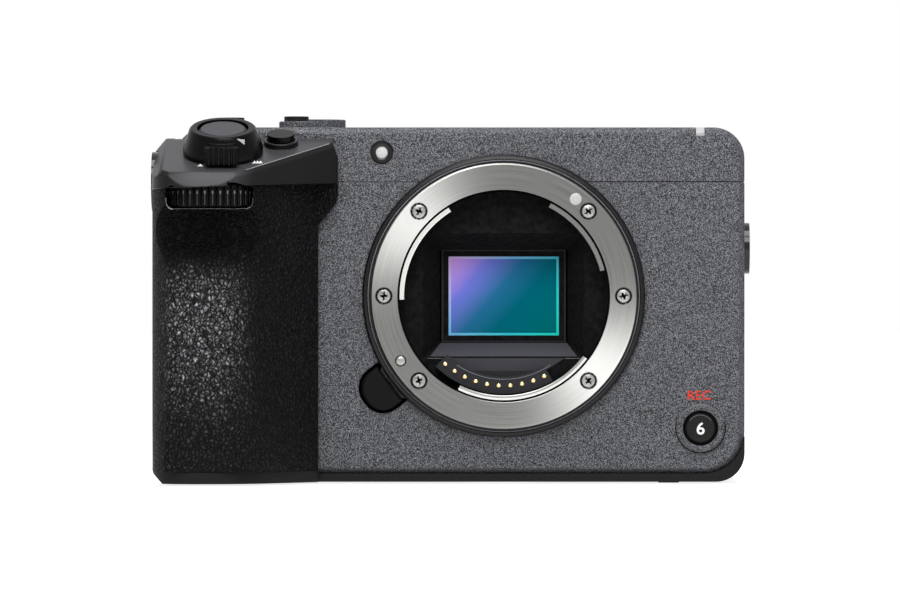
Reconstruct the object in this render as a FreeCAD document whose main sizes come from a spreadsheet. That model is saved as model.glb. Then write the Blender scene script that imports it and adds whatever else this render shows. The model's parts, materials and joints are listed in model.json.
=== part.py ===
import FreeCAD, Part
import math
import os
from types import SimpleNamespace

import Sketcher

# A compact box-shaped cinema camera without a lens.
# Millimetres, +X to the right seen from the front, the front faces -Y, +Z is up.
# The origin is the mouth of the tripod socket, under the optical axis.

SIZES = {
    # Housing
    "body_left": -71.5,
    "body_right": 52.4,
    "body_front": -21.0,
    "body_back": 31.5,
    "body_top": 77.4,
    "base_low": 0.3,
    "base_top": 2.1,
    "seam_height": 65.5,
    "front_split": -6.0,
    "rear_split": 24.0,
    "cover_wall": 2.0,
    "top_corner": 6.8,
    "base_corner": 6.2,
    "cover_corner": 9.0,
    "crescent_tall": 8.0,
    "edge_round": 1.2,
    "grip_joint": -44.5,
    "seat_gap": 0.3,
    "slack": 0.2,
    "run_gap": 0.1,
    "fit_gap": 0.05,
    # Middle wall and inner boards
    "wall_front": 2.0,
    "wall_back": 3.8,
    "wall_left": -44.0,
    "cooler_left": -12.0,
    "cooler_right": 42.0,
    "cooler_low": 9.0,
    "cooler_top": 62.0,
    "cooler_back": 12.0,
    "fin_depth": 5.0,
    "fin_width": 1.6,
    "fin_pitch": 3.4,
    "fin_count": 6,
    "fin_land": 1.0,
    "cooler_corner": 1.5,
    "fan_x": 26.0,
    "fan_z": 27.0,
    "fan_radius": 13.0,
    "fan_hub": 5.5,
    "fan_blade": 1.4,
    "fan_lead": 26.0,
    "fan_tip": 6.0,
    "fan_blades": 9,
    "fan_well": 13.6,
    "fan_shaft": 1.5,
    "fan_depth": 6.0,
    "board_left": -42.0,
    "board_right": 41.0,
    "board_low": 8.0,
    "board_top": 63.0,
    "board_thick": 1.6,
    "chip_size": 14.0,
    "chip_tall": 1.6,
    "chip_small_wide": 8.4,
    "chip_small_tall": 7.0,
    "board_corner": 2.0,
    # Lens mount, depths are measured forward of the tripod axis
    "mount_height": 40.7,
    "flange_face": 24.5,
    "flange_thick": 2.4,
    "flange_radius": 28.9,
    "throat_radius": 23.05,
    "throat_long": 1.2,
    "throat_relief": 0.4,
    "flange_bevel": 0.3,
    "claw_radius": 21.6,
    "claw_back": 1.3,
    "claw_one_start": 122.0,
    "claw_one_sweep": 60.0,
    "claw_two_start": 14.4,
    "claw_two_sweep": 48.6,
    "claw_three_start": 244.0,
    "claw_three_sweep": 79.0,
    "ring_radius": 30.75,
    "ring_inner": 24.4,
    "ring_lip": 22.5,
    "cover_hole": 27.0,
    "screw_circle": 26.0,
    "screw_head": 1.7,
    "screw_seat": 0.4,
    "pin_circle": 26.4,
    "pin_angle": 212.2,
    "pin_radius": 1.05,
    "pin_tip": 25.6,
    "pin_tail": 20.8,
    # Lens chamber and image sensor
    "box_front_radius": 25.0,
    "box_bore": 24.0,
    "box_floor": 18.4,
    "box_wide": 46.0,
    "box_tall": 40.0,
    "box_shoulder": 17.4,
    "box_back": 9.5,
    "chamber_wide": 35.2,
    "chamber_tall": 27.4,
    "chamber_taper": 22.0,
    "contact_in": 17.6,
    "contact_out": 21.3,
    "contact_start": 226.0,
    "contact_sweep": 74.0,
    "contact_face": 21.5,
    "contact_row": 19.5,
    "contact_first": 229.3,
    "contact_step": 7.5,
    "contact_count": 10,
    "contact_pin": 0.65,
    "contact_high": 0.5,
    "sensor_wide": 24.2,
    "sensor_tall": 17.3,
    "glass_front": 8.4,
    "glass_back": 6.5,
    "frame_wide": 27.3,
    "frame_tall": 20.5,
    "frame_corner": 1.2,
    "frame_front": 9.2,
    "plate_wide": 46.0,
    "plate_tall": 37.0,
    "plate_front": 5.4,
    "plate_back": 3.6,
    "stabiliser_wide": 54.0,
    "stabiliser_tall": 45.0,
    "stabiliser_front": 3.3,
    "stabiliser_back": -1.7,
    "stabiliser_window_wide": 30.0,
    "stabiliser_window_tall": 22.0,
    # Front controls and lamps
    "release_angle": 217.5,
    "release_in": 31.2,
    "release_out": 37.6,
    "release_half": 4.6,
    "release_corner": 4.2,
    "release_face": 22.3,
    "release_tail": 17.0,
    "release_gap": 0.6,
    "release_bevel": 0.5,
    "button_six_x": 42.8,
    "button_six_z": 12.0,
    "button_six_radius": 3.25,
    "button_six_ring": 5.15,
    "button_six_ring_high": 0.9,
    "button_six_well": 3.85,
    "button_six_face": 21.3,
    "button_six_tail": 17.2,
    "tally_x": 42.75,
    "tally_wide": 1.9,
    "tally_deep": 3.0,
    "tally_low": 75.5,
    "light_x": -26.5,
    "light_z": 71.9,
    "light_radius": 2.4,
    "light_deep": 4.0,
    # Grip
    "grip_left": -75.7,
    "grip_front": -43.6,
    "grip_bulge_right": -56.0,
    "grip_valley_x": -41.8,
    "grip_valley_y": -25.6,
    "grip_right": -40.3,
    "grip_pad": 2.5,
    "grip_side_y": -14.0,
    "grip_nose_round": 9.0,
    "grip_bulge_round": 17.0,
    "grip_side_round": 6.0,
    "grip_valley_round": 6.0,
    "skin_round": 1.4,
    "small_round": 1.2,
    "palm_low_round": 60.0,
    "palm_top_round": 9.0,
    "waist_round": 6.0,
    "lip_round": 4.0,
    "beyond": 6.0,
    "skin_thick": 1.2,
    "grip_base_top": 2.8,
    "grip_base_bevel": 2.3,
    "skin_low": 2.9,
    "skin_left_top": 63.4,
    "skin_right_top": 65.3,
    "grip_foot_y": -41.0,
    "grip_palm_y": -42.2,
    "grip_palm_low": 28.0,
    "grip_palm_top": 47.0,
    "grip_waist_y": -37.4,
    "grip_waist_z": 55.5,
    "grip_lip_z": 63.0,
    "shoulder_low": 56.0,
    "shoulder_top": 61.4,
    "shoulder_round": 4.0,
    "deck_tilt": 20.0,
    "deck_back_z": 75.0,
    "deck_round": 8.0,
    "deck_left": -75.7,
    "cheek_wide": 2.4,
    "cheek_tall": 2.8,
    "brow_wide": 2.4,
    "brow_low": 64.0,
    "deck_shoulder": 2.2,
    "deck_shoulder_z": 70.6,
    "deck_bulge_right": -58.0,
    "deck_edge": 0.8,
    "deck_right": -36.0,
    "deck_front": -44.6,
    # Deck controls
    "lever_x": -60.6,
    "lever_y": -30.6,
    "lever_base": 8.65,
    "lever_rim": 7.25,
    "lever_bore": 5.55,
    "lever_high": 5.9,
    "lever_skirt": 1.4,
    "lever_boss_high": 2.3,
    "lever_bevel": 0.4,
    "tab_half": 3.0,
    "tab_flare": 3.9,
    "tab_corner": 0.8,
    "tab_reach": 10.3,
    "tab_high": 4.6,
    "tab_rib": 0.45,
    "tab_rib_pitch": 1.1,
    "tab_rib_count": 7,
    "shutter_radius": 5.2,
    "shutter_top": 5.7,
    "shutter_bevel": 0.5,
    "shutter_cap": 1.5,
    "shutter_travel": 0.9,
    "stem_radius": 2.0,
    "stem_deep": 3.2,
    "grip_button_x": -48.3,
    "grip_button_y": -25.2,
    "grip_button_radius": 2.95,
    "grip_button_ring": 3.7,
    "grip_button_top": 2.6,
    "grip_button_ring_high": 1.2,
    # Control dials
    "dial_x": -63.2,
    "dial_y": -33.8,
    "dial_radius": 9.5,
    "dial_low": 59.9,
    "dial_top": 64.6,
    "dial_pin": 1.2,
    "dial_ribs": 36,
    "dial_rib_deep": 0.35,
    "dial_rib_wide": 0.8,
    "dial_clear": 1.0,
    "window_low": 59.4,
    "window_top": 65.0,
    "window_round": 1.6,
    "window_arch": 1.0,
    "window_flat": 5.7,
    "rear_dial_x": -58.0,
    "rear_dial_y": 22.8,
    "rear_dial_radius": 9.5,
    "rear_dial_low": 68.0,
    "rear_dial_top": 72.6,
    # Top buttons and shoe
    "button_radius": 2.7,
    "button_ring": 3.8,
    "button_ring_high": 1.6,
    "button_top": 80.1,
    "button_flange": 0.8,
    "button_flange_high": 0.8,
    "button_travel": 0.8,
    "button_one_x": -60.0,
    "button_one_y": 4.0,
    "button_two_x": -45.5,
    "button_two_y": -6.0,
    "button_three_x": -45.2,
    "button_three_y": 19.0,
    "rec_x": -40.2,
    "rec_y": 7.0,
    "rec_radius": 3.7,
    "rec_ring": 5.2,
    "rec_ring_high": 2.3,
    "rec_top": 79.3,
    "shoe_x": 3.0,
    "shoe_front": 7.0,
    "shoe_wide": 24.6,
    "shoe_low": 70.6,
    "shoe_floor": 73.4,
    "shoe_slot_wide": 18.6,
    "shoe_slot_tall": 2.1,
    "shoe_rail_gap": 12.5,
    # Threaded sockets
    "thread_radius": 2.55,
    "insert_radius": 4.2,
    "insert_deep": 6.0,
    "insert_left_x": -20.0,
    "insert_front_y": -8.0,
    "insert_right_x": 38.0,
    "insert_back_y": 20.0,
    "boss_left_y": -22.5,
    "boss_left_z": 65.5,
    "boss_left_radius": 6.5,
    "boss_left_high": 0.6,
    "boss_left_deep": 3.9,
    "boss_right_y": -13.5,
    "boss_right_z": 51.1,
    "boss_right_radius": 5.6,
    "boss_right_high": 1.2,
    "tripod_flange": 9.0,
    "tripod_shank": 5.4,
    "tripod_deep": 6.0,
    "tripod_top": 9.0,
    # Battery and its door
    "battery_left": -69.2,
    "battery_wide": 22.7,
    "battery_front": -26.2,
    "battery_long": 38.7,
    "battery_low": 2.7,
    "battery_tall": 51.7,
    "battery_gap": 0.3,
    "battery_corner": 2.0,
    "door_left": -69.9,
    "door_hinge_x": -45.3,
    "door_front": -26.8,
    "door_back": 12.9,
    "door_knuckle": 0.9,
    "door_pin": 0.45,
    "door_pin_long": 1.2,
    "latch_y": -12.0,
    "latch_long": 9.0,
    "latch_left": -69.4,
    "latch_wide": 5.0,
    "latch_throw": 1.2,
    "latch_thick": 0.7,
    "latch_corner": 0.6,
    "foot_radius": 2.2,
    "foot_left_x": -62.0,
    "foot_right_x": 36.0,
    "foot_front_y": -15.0,
    "foot_door_y": -21.0,
    "foot_back_y": 24.0,
    "vent_left": 12.0,
    "vent_long": 20.0,
    "vent_wide": 1.6,
    "vent_pitch": 3.2,
    "vent_count": 6,
    "vent_front": 4.6,
    # Card door and side covers
    "card_front": 5.2,
    "card_back": 21.0,
    "card_low": 16.0,
    "card_top": 56.0,
    "flap_thick": 1.5,
    "flap_gap": 0.25,
    "flap_knuckle": 0.75,
    "flap_pin": 0.4,
    "flap_pin_long": 1.0,
    "slot_back": 20.5,
    "slot_left": -69.0,
    "slot_right": -38.0,
    "slot_low": 18.0,
    "slot_top": 54.0,
    "slot_mouth": 1.7,
    "slot_mouth_tall": 24.0,
    "port_front": 5.2,
    "port_back": 21.0,
    "port_left": 44.0,
    "port_low": 12.5,
    "port_usb_top": 23.0,
    "port_hdmi_top": 35.0,
    "port_audio_top": 45.5,
    "port_rib": 2.0,
    "port_pin_end": 0.6,
    "usb_wide": 3.2,
    "usb_tall": 9.0,
    "hdmi_wide": 5.5,
    "hdmi_tall": 10.0,
    "audio_offset": 3.6,
    "audio_radius": 1.75,
    "exhaust_low": 48.0,
    "exhaust_wide": 1.6,
    "exhaust_pitch": 3.0,
    "exhaust_count": 6,
    "exhaust_tall": 13.0,
    # Rear controls
    "wheel_x": -50.0,
    "wheel_z": 31.0,
    "wheel_radius": 11.5,
    "wheel_bore": 5.9,
    "wheel_high": 2.2,
    "wheel_seat": 0.9,
    "wheel_button": 4.6,
    "stick_x": -38.0,
    "stick_z": 57.5,
    "stick_radius": 3.4,
    "stick_high": 4.2,
    "stick_neck": 1.6,
    "stick_cap": 1.6,
    "stick_flare": 1.0,
    "gimbal_radius": 4.4,
    "gimbal_depth": 0.8,
    "rear_button": 2.6,
    "rear_button_high": 1.0,
    "fn_x": -56.0,
    "fn_z": 54.0,
    "menu_x": -40.0,
    "menu_z": 47.0,
    "play_x": -38.0,
    "play_z": 12.0,
    "delete_x": -58.0,
    "delete_z": 10.5,
    "switch_x": 30.0,
    "switch_z": 71.0,
    "switch_slot": 10.0,
    "switch_wide": 5.0,
    "switch_tall": 3.4,
    "switch_throw": 2.2,
    "switch_high": 1.6,
    "switch_corner": 0.8,
    "thumb_left": -70.0,
    "thumb_right": -63.5,
    "thumb_low": 33.0,
    "thumb_top": 60.0,
    "thumb_high": 3.0,
    "thumb_corner": 2.5,
    # Monitor
    "monitor_left": -27.5,
    "monitor_right": 44.0,
    "monitor_low": 8.0,
    "monitor_top": 62.0,
    "monitor_corner": 4.0,
    "monitor_gap": 0.5,
    "monitor_thick": 6.9,
    "screen_rim": 3.4,
    "screen_thick": 0.6,
    "screen_corner": 1.5,
    "arm_thick": 5.4,
    "arm_low": 22.0,
    "arm_top": 48.0,
    "arm_axis_x": 49.6,
    "arm_pin": 1.2,
    "arm_pin_long": 2.0,
    "lug_long": 3.6,
    "barrel_radius": 2.2,
    "barrel_long": 6.0,
}

doc = FreeCAD.newDocument("CinemaCamera")
sheet = doc.addObject("Spreadsheet::Sheet", "Sizes")
for row, (alias, amount) in enumerate(SIZES.items(), start=1):
    sheet.set(f"A{row}", alias)
    sheet.set(f"B{row}", str(amount))
    sheet.setAlias(f"B{row}", alias)
doc.recompute()


class Size:
    """A length or an angle, as an expression on the sheet and as its present number."""

    def __init__(self, text, number):
        self.text = text
        self.number = number

    def __add__(self, other):
        other = as_size(other)
        return Size(f"({self.text} + {other.text})", self.number + other.number)

    def __radd__(self, other):
        return as_size(other) + self

    def __sub__(self, other):
        other = as_size(other)
        return Size(f"({self.text} - {other.text})", self.number - other.number)

    def __rsub__(self, other):
        return as_size(other) - self

    def __mul__(self, other):
        other = as_size(other)
        return Size(f"({self.text} * {other.text})", self.number * other.number)

    def __rmul__(self, other):
        return as_size(other) * self

    def __truediv__(self, other):
        other = as_size(other)
        return Size(f"({self.text} / {other.text})", self.number / other.number)

    def __neg__(self):
        return Size(f"(0 - {self.text})", -self.number)


def as_size(amount):
    """Take a Size as it is and wrap a plain number."""
    if isinstance(amount, Size):
        return amount
    return Size(f"({amount:g})", float(amount))


def sine(angle):
    return Size(f"sin({angle.text})", math.sin(math.radians(angle.number)))


def cosine(angle):
    return Size(f"cos({angle.text})", math.cos(math.radians(angle.number)))


def tangent(angle):
    return Size(f"tan({angle.text})", math.tan(math.radians(angle.number)))


def smaller(first, second):
    first, second = as_size(first), as_size(second)
    return Size(f"min({first.text}; {second.text})", min(first.number, second.number))


def bind(item, path, amount):
    """Tie one property of an object to the sheet."""
    item.setExpression(path, as_size(amount).text)


s = SimpleNamespace(**{name: Size(f"Sizes.{name}", float(sheet.get(name))) for name in SIZES})

V = FreeCAD.Vector
PLANES = {"front": "XZ_Plane", "top": "XY_Plane", "side": "YZ_Plane"}
FACING = {
    "up": FreeCAD.Rotation(),
    "down": FreeCAD.Rotation(V(1, 0, 0), 180),
    "front": FreeCAD.Rotation(V(1, 0, 0), 90),
    "back": FreeCAD.Rotation(V(0, 1, 1), 180),
    "right": FreeCAD.Rotation(V(1, 1, 1), 120),
    "left": FreeCAD.Rotation(V(1, -1, -1), 120),
}


class Circle:
    """A round outline."""

    def __init__(self, u, v, radius):
        self.u = as_size(u)
        self.v = as_size(v)
        self.radius = as_size(radius)


def rectangle(u_low, v_low, u_high, v_high, corner=0):
    """A rectangle's corners, each with its rounding."""
    return [
        (u_low, v_low, corner),
        (u_high, v_low, corner),
        (u_high, v_high, corner),
        (u_low, v_high, corner),
    ]


def centred(wide, tall, corner=0, u=0, v=0):
    """A rectangle around a middle point."""
    half_wide = as_size(wide) * 0.5
    half_tall = as_size(tall) * 0.5
    return rectangle(u - half_wide, v - half_tall, u + half_wide, v + half_tall, corner)


def bevel(u, v, size):
    """The two points of a cut-off top corner."""
    return [(u, v - size), (u - size, v)]


def flats(u, v, radius, sides=8):
    """A small round form drawn with flats, its corners on the radius."""
    corners = [polar(radius, as_size(360 / sides * side)) for side in range(sides)]
    return [(u + across, v + up) for across, up in corners]


def polar(radius, angle):
    """The point at a radius and an angle."""
    return radius * cosine(angle), radius * sine(angle)


class Drawing:
    """A fully dimensioned sketch."""

    def __init__(self, body, name):
        self.sketch = body.newObject("Sketcher::SketchObject", name)
        self.rules = []

    def rule(self, *parts, amount=None):
        self.rules.append((Sketcher.Constraint(*parts), amount))

    def place_point(self, index, vertex, u, v):
        self.rule("DistanceX", -1, 1, index, vertex, u.number, amount=u)
        self.rule("DistanceY", -1, 1, index, vertex, v.number, amount=v)

    def circle(self, outline):
        centre = V(outline.u.number, outline.v.number, 0)
        index = self.sketch.addGeometry(Part.Circle(centre, V(0, 0, 1), outline.radius.number))
        self.place_point(index, 3, outline.u, outline.v)
        self.rule("Radius", index, outline.radius.number, amount=outline.radius)

    def polygon(self, corners):
        """A closed outline of lines, with a tangent arc at each rounded corner."""
        corners = [(as_size(c[0]), as_size(c[1]), as_size(c[2] if len(c) > 2 else 0)) for c in corners]
        count = len(corners)
        marks = [V(u.number, v.number, 0) for u, v, _ in corners]
        arcs = {}
        leave = {}
        arrive = {}
        for i, (_, _, radius) in enumerate(corners):
            before = (marks[i - 1] - marks[i]).normalize()
            after = (marks[(i + 1) % count] - marks[i]).normalize()
            arrive[i] = leave[i] = marks[i]
            if radius.number <= 0:
                continue
            half = before.getAngle(after) / 2
            reach = radius.number / math.tan(half)
            centre = marks[i] + (before + after).normalize() * (radius.number / math.sin(half))
            arrive[i] = marks[i] + before * reach
            leave[i] = marks[i] + after * reach
            left_turn = before.cross(after).z < 0
            first, last = (arrive[i], leave[i]) if left_turn else (leave[i], arrive[i])
            start = math.atan2(first.y - centre.y, first.x - centre.x)
            end = math.atan2(last.y - centre.y, last.x - centre.x)
            if end < start:
                end += 2 * math.pi
            ring = Part.Circle(centre, V(0, 0, 1), radius.number)
            arc = self.sketch.addGeometry(Part.ArcOfCircle(ring, start, end))
            mark = self.sketch.addGeometry(Part.Point(marks[i]), True)
            arcs[i] = (arc, 1 if left_turn else 2, 2 if left_turn else 1, mark)
        lines = [
            self.sketch.addGeometry(Part.LineSegment(leave[i], arrive[(i + 1) % count]))
            for i in range(count)
        ]
        for i, (u, v, radius) in enumerate(corners):
            into, out = lines[i - 1], lines[i]
            if i not in arcs:
                self.rule("Coincident", into, 2, out, 1)
                self.place_point(out, 1, u, v)
                continue
            arc, entry, leaving, mark = arcs[i]
            self.place_point(mark, 1, u, v)
            self.rule("Tangent", into, 2, arc, entry)
            self.rule("Tangent", arc, leaving, out, 1)
            self.rule("PointOnObject", mark, 1, into)
            self.rule("PointOnObject", mark, 1, out)
            self.rule("Radius", arc, radius.number, amount=radius)

    def finish(self):
        indices = self.sketch.addConstraint([rule for rule, _ in self.rules])
        for index, (_, amount) in zip(indices, self.rules):
            if amount is not None and "Sizes" in amount.text:
                self.sketch.setExpression(f"Constraints[{index}]", amount.text)
        return self.sketch


class Piece:
    """One sub-part, made as a body of sketches and features."""

    def __init__(self, name, at=(0, 0, 0), facing="up", lean=None):
        self.name = name
        self.body = doc.addObject("PartDesign::Body", name)
        self.body.AllowCompound = True
        self.count = 0
        turn = FACING[facing] if lean is None else FreeCAD.Rotation(V(1, 0, 0), lean.number)
        self.body.Placement = FreeCAD.Placement(V(*[as_size(a).number for a in at]), turn)
        for letter, amount in zip("xyz", at):
            bind(self.body, f"Placement.Base.{letter}", amount)
        if lean is not None:
            bind(self.body, "Placement.Rotation.Angle", lean)

    def label(self, kind):
        self.count += 1
        return f"{self.name}_{kind}_{self.count}"

    def origin(self, role):
        return next(item for item in self.body.Origin.OriginFeatures if item.Role == role)

    def draw(self, plane, level, outlines, spin=None, around=(0, 0), lean=None, yaw=None):
        """A sketch on one of the body's planes, at a level along it."""
        drawing = Drawing(self.body, self.label("sketch"))
        sketch = drawing.sketch
        sketch.AttachmentSupport = [(self.origin(PLANES[plane]), "")]
        sketch.MapMode = "FlatFace"
        level = as_size(level)
        base = [as_size(around[0]), as_size(around[1]), -level if plane == "front" else level]
        axis, angle = V(0, 0, 1), spin
        if lean is not None:
            axis, angle = V(1, 0, 0), lean
            if plane == "front":
                base = [base[0], as_size(around[2]), -base[1]]
            else:
                base = [base[0], base[1] - level * sine(lean), around[2] + level * cosine(lean)]
        if yaw is not None:
            axis, angle = V(0, 1, 0), yaw
        if angle is not None:
            turn = FreeCAD.Rotation(axis, as_size(angle).number)
            sketch.AttachmentOffset = FreeCAD.Placement(V(0, 0, 0), turn)
            bind(sketch, "AttachmentOffset.Rotation.Angle", angle)
        for letter, amount in zip("xyz", base):
            bind(sketch, f"AttachmentOffset.Base.{letter}", amount)
        for outline in outlines:
            if isinstance(outline, Circle):
                drawing.circle(outline)
            else:
                drawing.polygon(outline)
        return drawing.finish()

    def feature(self, kind, profile):
        item = self.body.newObject(f"PartDesign::{kind}", self.label(kind.lower()))
        item.Profile = profile
        self.body.Tip = item
        return item

    def pad(self, plane, low, high, *outlines, **where):
        """Material between two levels along a plane's axis."""
        item = self.feature("Pad", self.draw(plane, low, outlines, **where))
        item.Reversed = plane == "front"
        bind(item, "Length", as_size(high) - low)
        return item

    def cut(self, plane, low, high, *outlines, **where):
        """A hollow between two levels along a plane's axis."""
        item = self.feature("Pocket", self.draw(plane, low, outlines, **where))
        item.Reversed = plane != "front"
        bind(item, "Length", as_size(high) - low)
        return item

    def wedge(self, low, high, low_size, high_size):
        """A four-sided hollow that widens between two levels along Z."""
        item = self.body.newObject("PartDesign::SubtractiveWedge", self.label("wedge"))
        item.AttachmentSupport = [(self.origin("XY_Plane"), "")]
        item.MapMode = "FlatFace"
        item.AttachmentOffset = FreeCAD.Placement(V(0, 0, 0), FreeCAD.Rotation(V(1, 0, 0), 90))
        bind(item, "AttachmentOffset.Base.z", low)
        sides = {"Xmin": -low_size[0], "Xmax": low_size[0], "Zmin": -low_size[1], "Zmax": low_size[1],
                 "X2min": -high_size[0], "X2max": high_size[0], "Z2min": -high_size[1], "Z2max": high_size[1]}
        item.Ymin = 0
        bind(item, "Ymax", high - low)
        for side, amount in sides.items():
            bind(item, side, amount * 0.5)
        self.body.Tip = item
        return item

    def turn(self, outline, start=None, sweep=360):
        """A form turned about the body's own Z axis, or a part of a turn from a start angle."""
        profile = self.draw("front", 0, [outline], yaw=start)
        item = self.feature("Revolution", profile)
        item.ReferenceAxis = (profile, ["V_Axis"])
        bind(item, "Angle", sweep)
        return item

    def around(self, feature, count):
        """Copies of a feature all round the body's Z axis."""
        pattern = self.body.newObject("PartDesign::PolarPattern", self.label("ring"))
        pattern.Originals = [feature]
        pattern.Axis = (self.origin("Z_Axis"), [""])
        pattern.Angle = 360
        bind(pattern, "Occurrences", count)
        self.body.Tip = pattern
        return pattern

    def row(self, feature, role, pitch, count):
        """Copies of a feature in a straight row."""
        pattern = self.body.newObject("PartDesign::LinearPattern", self.label("row"))
        pattern.Originals = [feature]
        pattern.Direction = (self.origin(role), [""])
        bind(pattern, "Length", pitch * (count - 1))
        bind(pattern, "Occurrences", count)
        self.body.Tip = pattern
        return pattern

    def soften(self, kind, amount, wanted):
        """A fillet or a chamfer on the edges that a test picks."""
        doc.recompute()
        tip = self.body.Tip
        names = [f"Edge{i}" for i, edge in enumerate(tip.Shape.Edges, start=1) if wanted(edge)]
        item = self.body.newObject(f"PartDesign::{kind}", self.label(kind.lower()))
        item.Base = (tip, names)
        bind(item, "Radius" if kind == "Fillet" else "Size", amount)
        self.body.Tip = item
        return item


NEAR = 1e-4


def on_level(edge, axis, level):
    """Whether an edge lies in the plane at a level along X, Y or Z."""
    box = edge.BoundBox
    low, high = (getattr(box, f"{axis}Min"), getattr(box, f"{axis}Max"))
    return abs(low - level.number) < NEAR and abs(high - level.number) < NEAR


# Housing

mount_centre = (0, s.mount_height)


def body_outline(inset, corner, low, high, left):
    """The lower housing's outline seen from the front, drawn in by a wall."""
    shrunk = corner - inset
    return [
        (left + inset, low + inset, shrunk),
        (s.body_right - inset, low + inset, shrunk),
        (s.body_right - inset, high),
        (left + inset, high),
    ]


def lower_front_edge(edge, level):
    box = edge.BoundBox
    corner = s.cover_corner.number
    at_side = box.XMin > s.body_right.number - corner - NEAR
    at_base = box.ZMax < s.base_top.number + corner + NEAR
    return on_level(edge, "Y", level) and (at_side or at_base)


recess_start = s.cover_hole - s.small_round
release_recess = [
    (recess_start, -s.release_half - s.release_gap),
    (s.release_out + s.release_gap, -s.release_half - s.release_gap, s.release_corner + s.release_gap),
    (s.release_out + s.release_gap, s.release_half + s.release_gap, s.release_corner + s.release_gap),
    (recess_start, s.release_half + s.release_gap),
]

front_cover = Piece("front_cover")
front_outline = [
    (s.grip_joint, s.base_top),
    (s.body_right, s.base_top, s.cover_corner),
    (s.body_right, s.seam_height),
    (s.grip_joint, s.seam_height),
]
front_hollow = [
    (s.grip_joint + s.cover_wall, s.base_top + s.cover_wall),
    (s.body_right - s.cover_wall, s.base_top + s.cover_wall, s.cover_corner - s.cover_wall),
    (s.body_right - s.cover_wall, s.seam_height),
    (s.grip_joint + s.cover_wall, s.seam_height),
]
front_cover.pad("front", s.body_front, s.front_split, front_outline)
front_cover.soften("Chamfer", s.edge_round, lambda edge: lower_front_edge(edge, s.body_front)
                   and edge.BoundBox.ZMax < s.seam_height.number + NEAR
                   and edge.BoundBox.XMax > s.grip_joint.number + NEAR)
front_cover.cut("front", s.body_front + s.cover_wall, s.front_split, front_hollow)
front_cover.cut("front", s.body_front, s.body_front + s.cover_wall, Circle(0, s.mount_height, s.cover_hole))
front_cover.cut("front", s.body_front, s.body_front + s.cover_wall, release_recess,
                around=mount_centre, spin=s.release_angle)
front_cover.pad("front", s.body_front - s.button_six_ring_high, s.body_front,
                Circle(s.button_six_x, s.button_six_z, s.button_six_ring))
front_cover.cut("front", s.body_front - s.button_six_ring_high, s.body_front + s.cover_wall,
                Circle(s.button_six_x, s.button_six_z, s.button_six_well))
front_cover.cut("side", s.body_right - s.cover_wall, s.body_right,
                Circle(s.boss_right_y, s.boss_right_z, s.insert_radius + s.fit_gap))

top_cover = Piece("top_cover")


def top_outline(inset):
    corner = smaller(s.top_corner, s.body_top - s.seam_height - s.edge_round)
    return [
        (s.body_left + inset, s.seam_height),
        (s.body_right - inset, s.seam_height),
        (s.body_right - inset, s.body_top - inset, corner - inset),
        (s.body_left + inset, s.body_top - inset, corner - inset),
    ]


top_cover.pad("front", s.body_front, s.body_back, top_outline(0))
top_cover.soften("Chamfer", s.edge_round, lambda edge: (on_level(edge, "Y", s.body_front)
                 or on_level(edge, "Y", s.body_back)) and not on_level(edge, "Z", s.seam_height))
top_cover.cut("front", s.body_front + s.cover_wall, s.body_back - s.cover_wall, top_outline(s.cover_wall))
TOP_BUTTONS = {
    "button_one": (s.button_one_x, s.button_one_y),
    "button_two": (s.button_two_x, s.button_two_y),
    "button_three": (s.button_three_x, s.button_three_y),
    "rec_button": (s.rec_x, s.rec_y),
}


def top_button(name):
    """A top button's radius and top, and its ring's radius and height."""
    if name == "rec_button":
        return s.rec_radius, s.rec_top, s.rec_ring, s.rec_ring_high
    return s.button_radius, s.button_top, s.button_ring, s.button_ring_high


for name, (x, y) in TOP_BUTTONS.items():
    _, _, ring, ring_high = top_button(name)
    top_cover.pad("top", s.body_top, s.body_top + ring_high, Circle(x, y, ring))
for name, (x, y) in TOP_BUTTONS.items():
    radius, _, _, ring_high = top_button(name)
    top_cover.cut("top", s.body_top - s.cover_wall, s.body_top + ring_high,
                  Circle(x, y, radius + s.seat_gap))
shoe_half = s.shoe_wide * 0.5
top_cover.cut("top", s.shoe_low, s.body_top, rectangle(
    s.shoe_x - shoe_half - s.fit_gap, s.shoe_front - s.fit_gap,
    s.shoe_x + shoe_half + s.fit_gap, s.body_back))
TOP_INSERTS = [
    (s.insert_left_x, s.insert_front_y),
    (s.insert_right_x, s.insert_front_y),
    (s.insert_right_x, s.insert_back_y),
]
for x, y in TOP_INSERTS:
    top_cover.cut("top", s.body_top - s.cover_wall, s.body_top, Circle(x, y, s.insert_radius + s.fit_gap))
if (s.mount_height + s.cover_hole).number > s.seam_height.number:
    top_cover.cut("front", s.body_front, s.body_front + s.cover_wall,
                  Circle(0, s.mount_height, s.cover_hole))
top_cover.cut("front", s.body_front, s.body_front + s.cover_wall,
              Circle(s.light_x, s.light_z, s.light_radius + s.fit_gap))
tally_outline = rectangle(
    s.tally_x - s.tally_wide * 0.5, s.tally_low, s.tally_x + s.tally_wide * 0.5, s.body_top)
tally_hole = rectangle(
    s.tally_x - s.tally_wide * 0.5 - s.fit_gap, s.tally_low - s.fit_gap,
    s.tally_x + s.tally_wide * 0.5 + s.fit_gap, s.body_top)
top_cover.cut("front", s.body_front, s.body_front + s.tally_deep + s.fit_gap, tally_hole)
top_cover.cut("front", s.body_back - s.cover_wall, s.body_back, rectangle(
    s.rear_dial_x - s.rear_dial_radius, s.rear_dial_low - s.seat_gap,
    s.rear_dial_x + s.rear_dial_radius, s.rear_dial_top + s.seat_gap))
top_cover.cut("front", s.body_back - s.cover_wall, s.body_back, rectangle(
    s.switch_x - s.switch_slot * 0.5, s.switch_z - s.switch_tall * 0.5 - s.seat_gap,
    s.switch_x + s.switch_slot * 0.5, s.switch_z + s.switch_tall * 0.5 + s.seat_gap))
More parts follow.
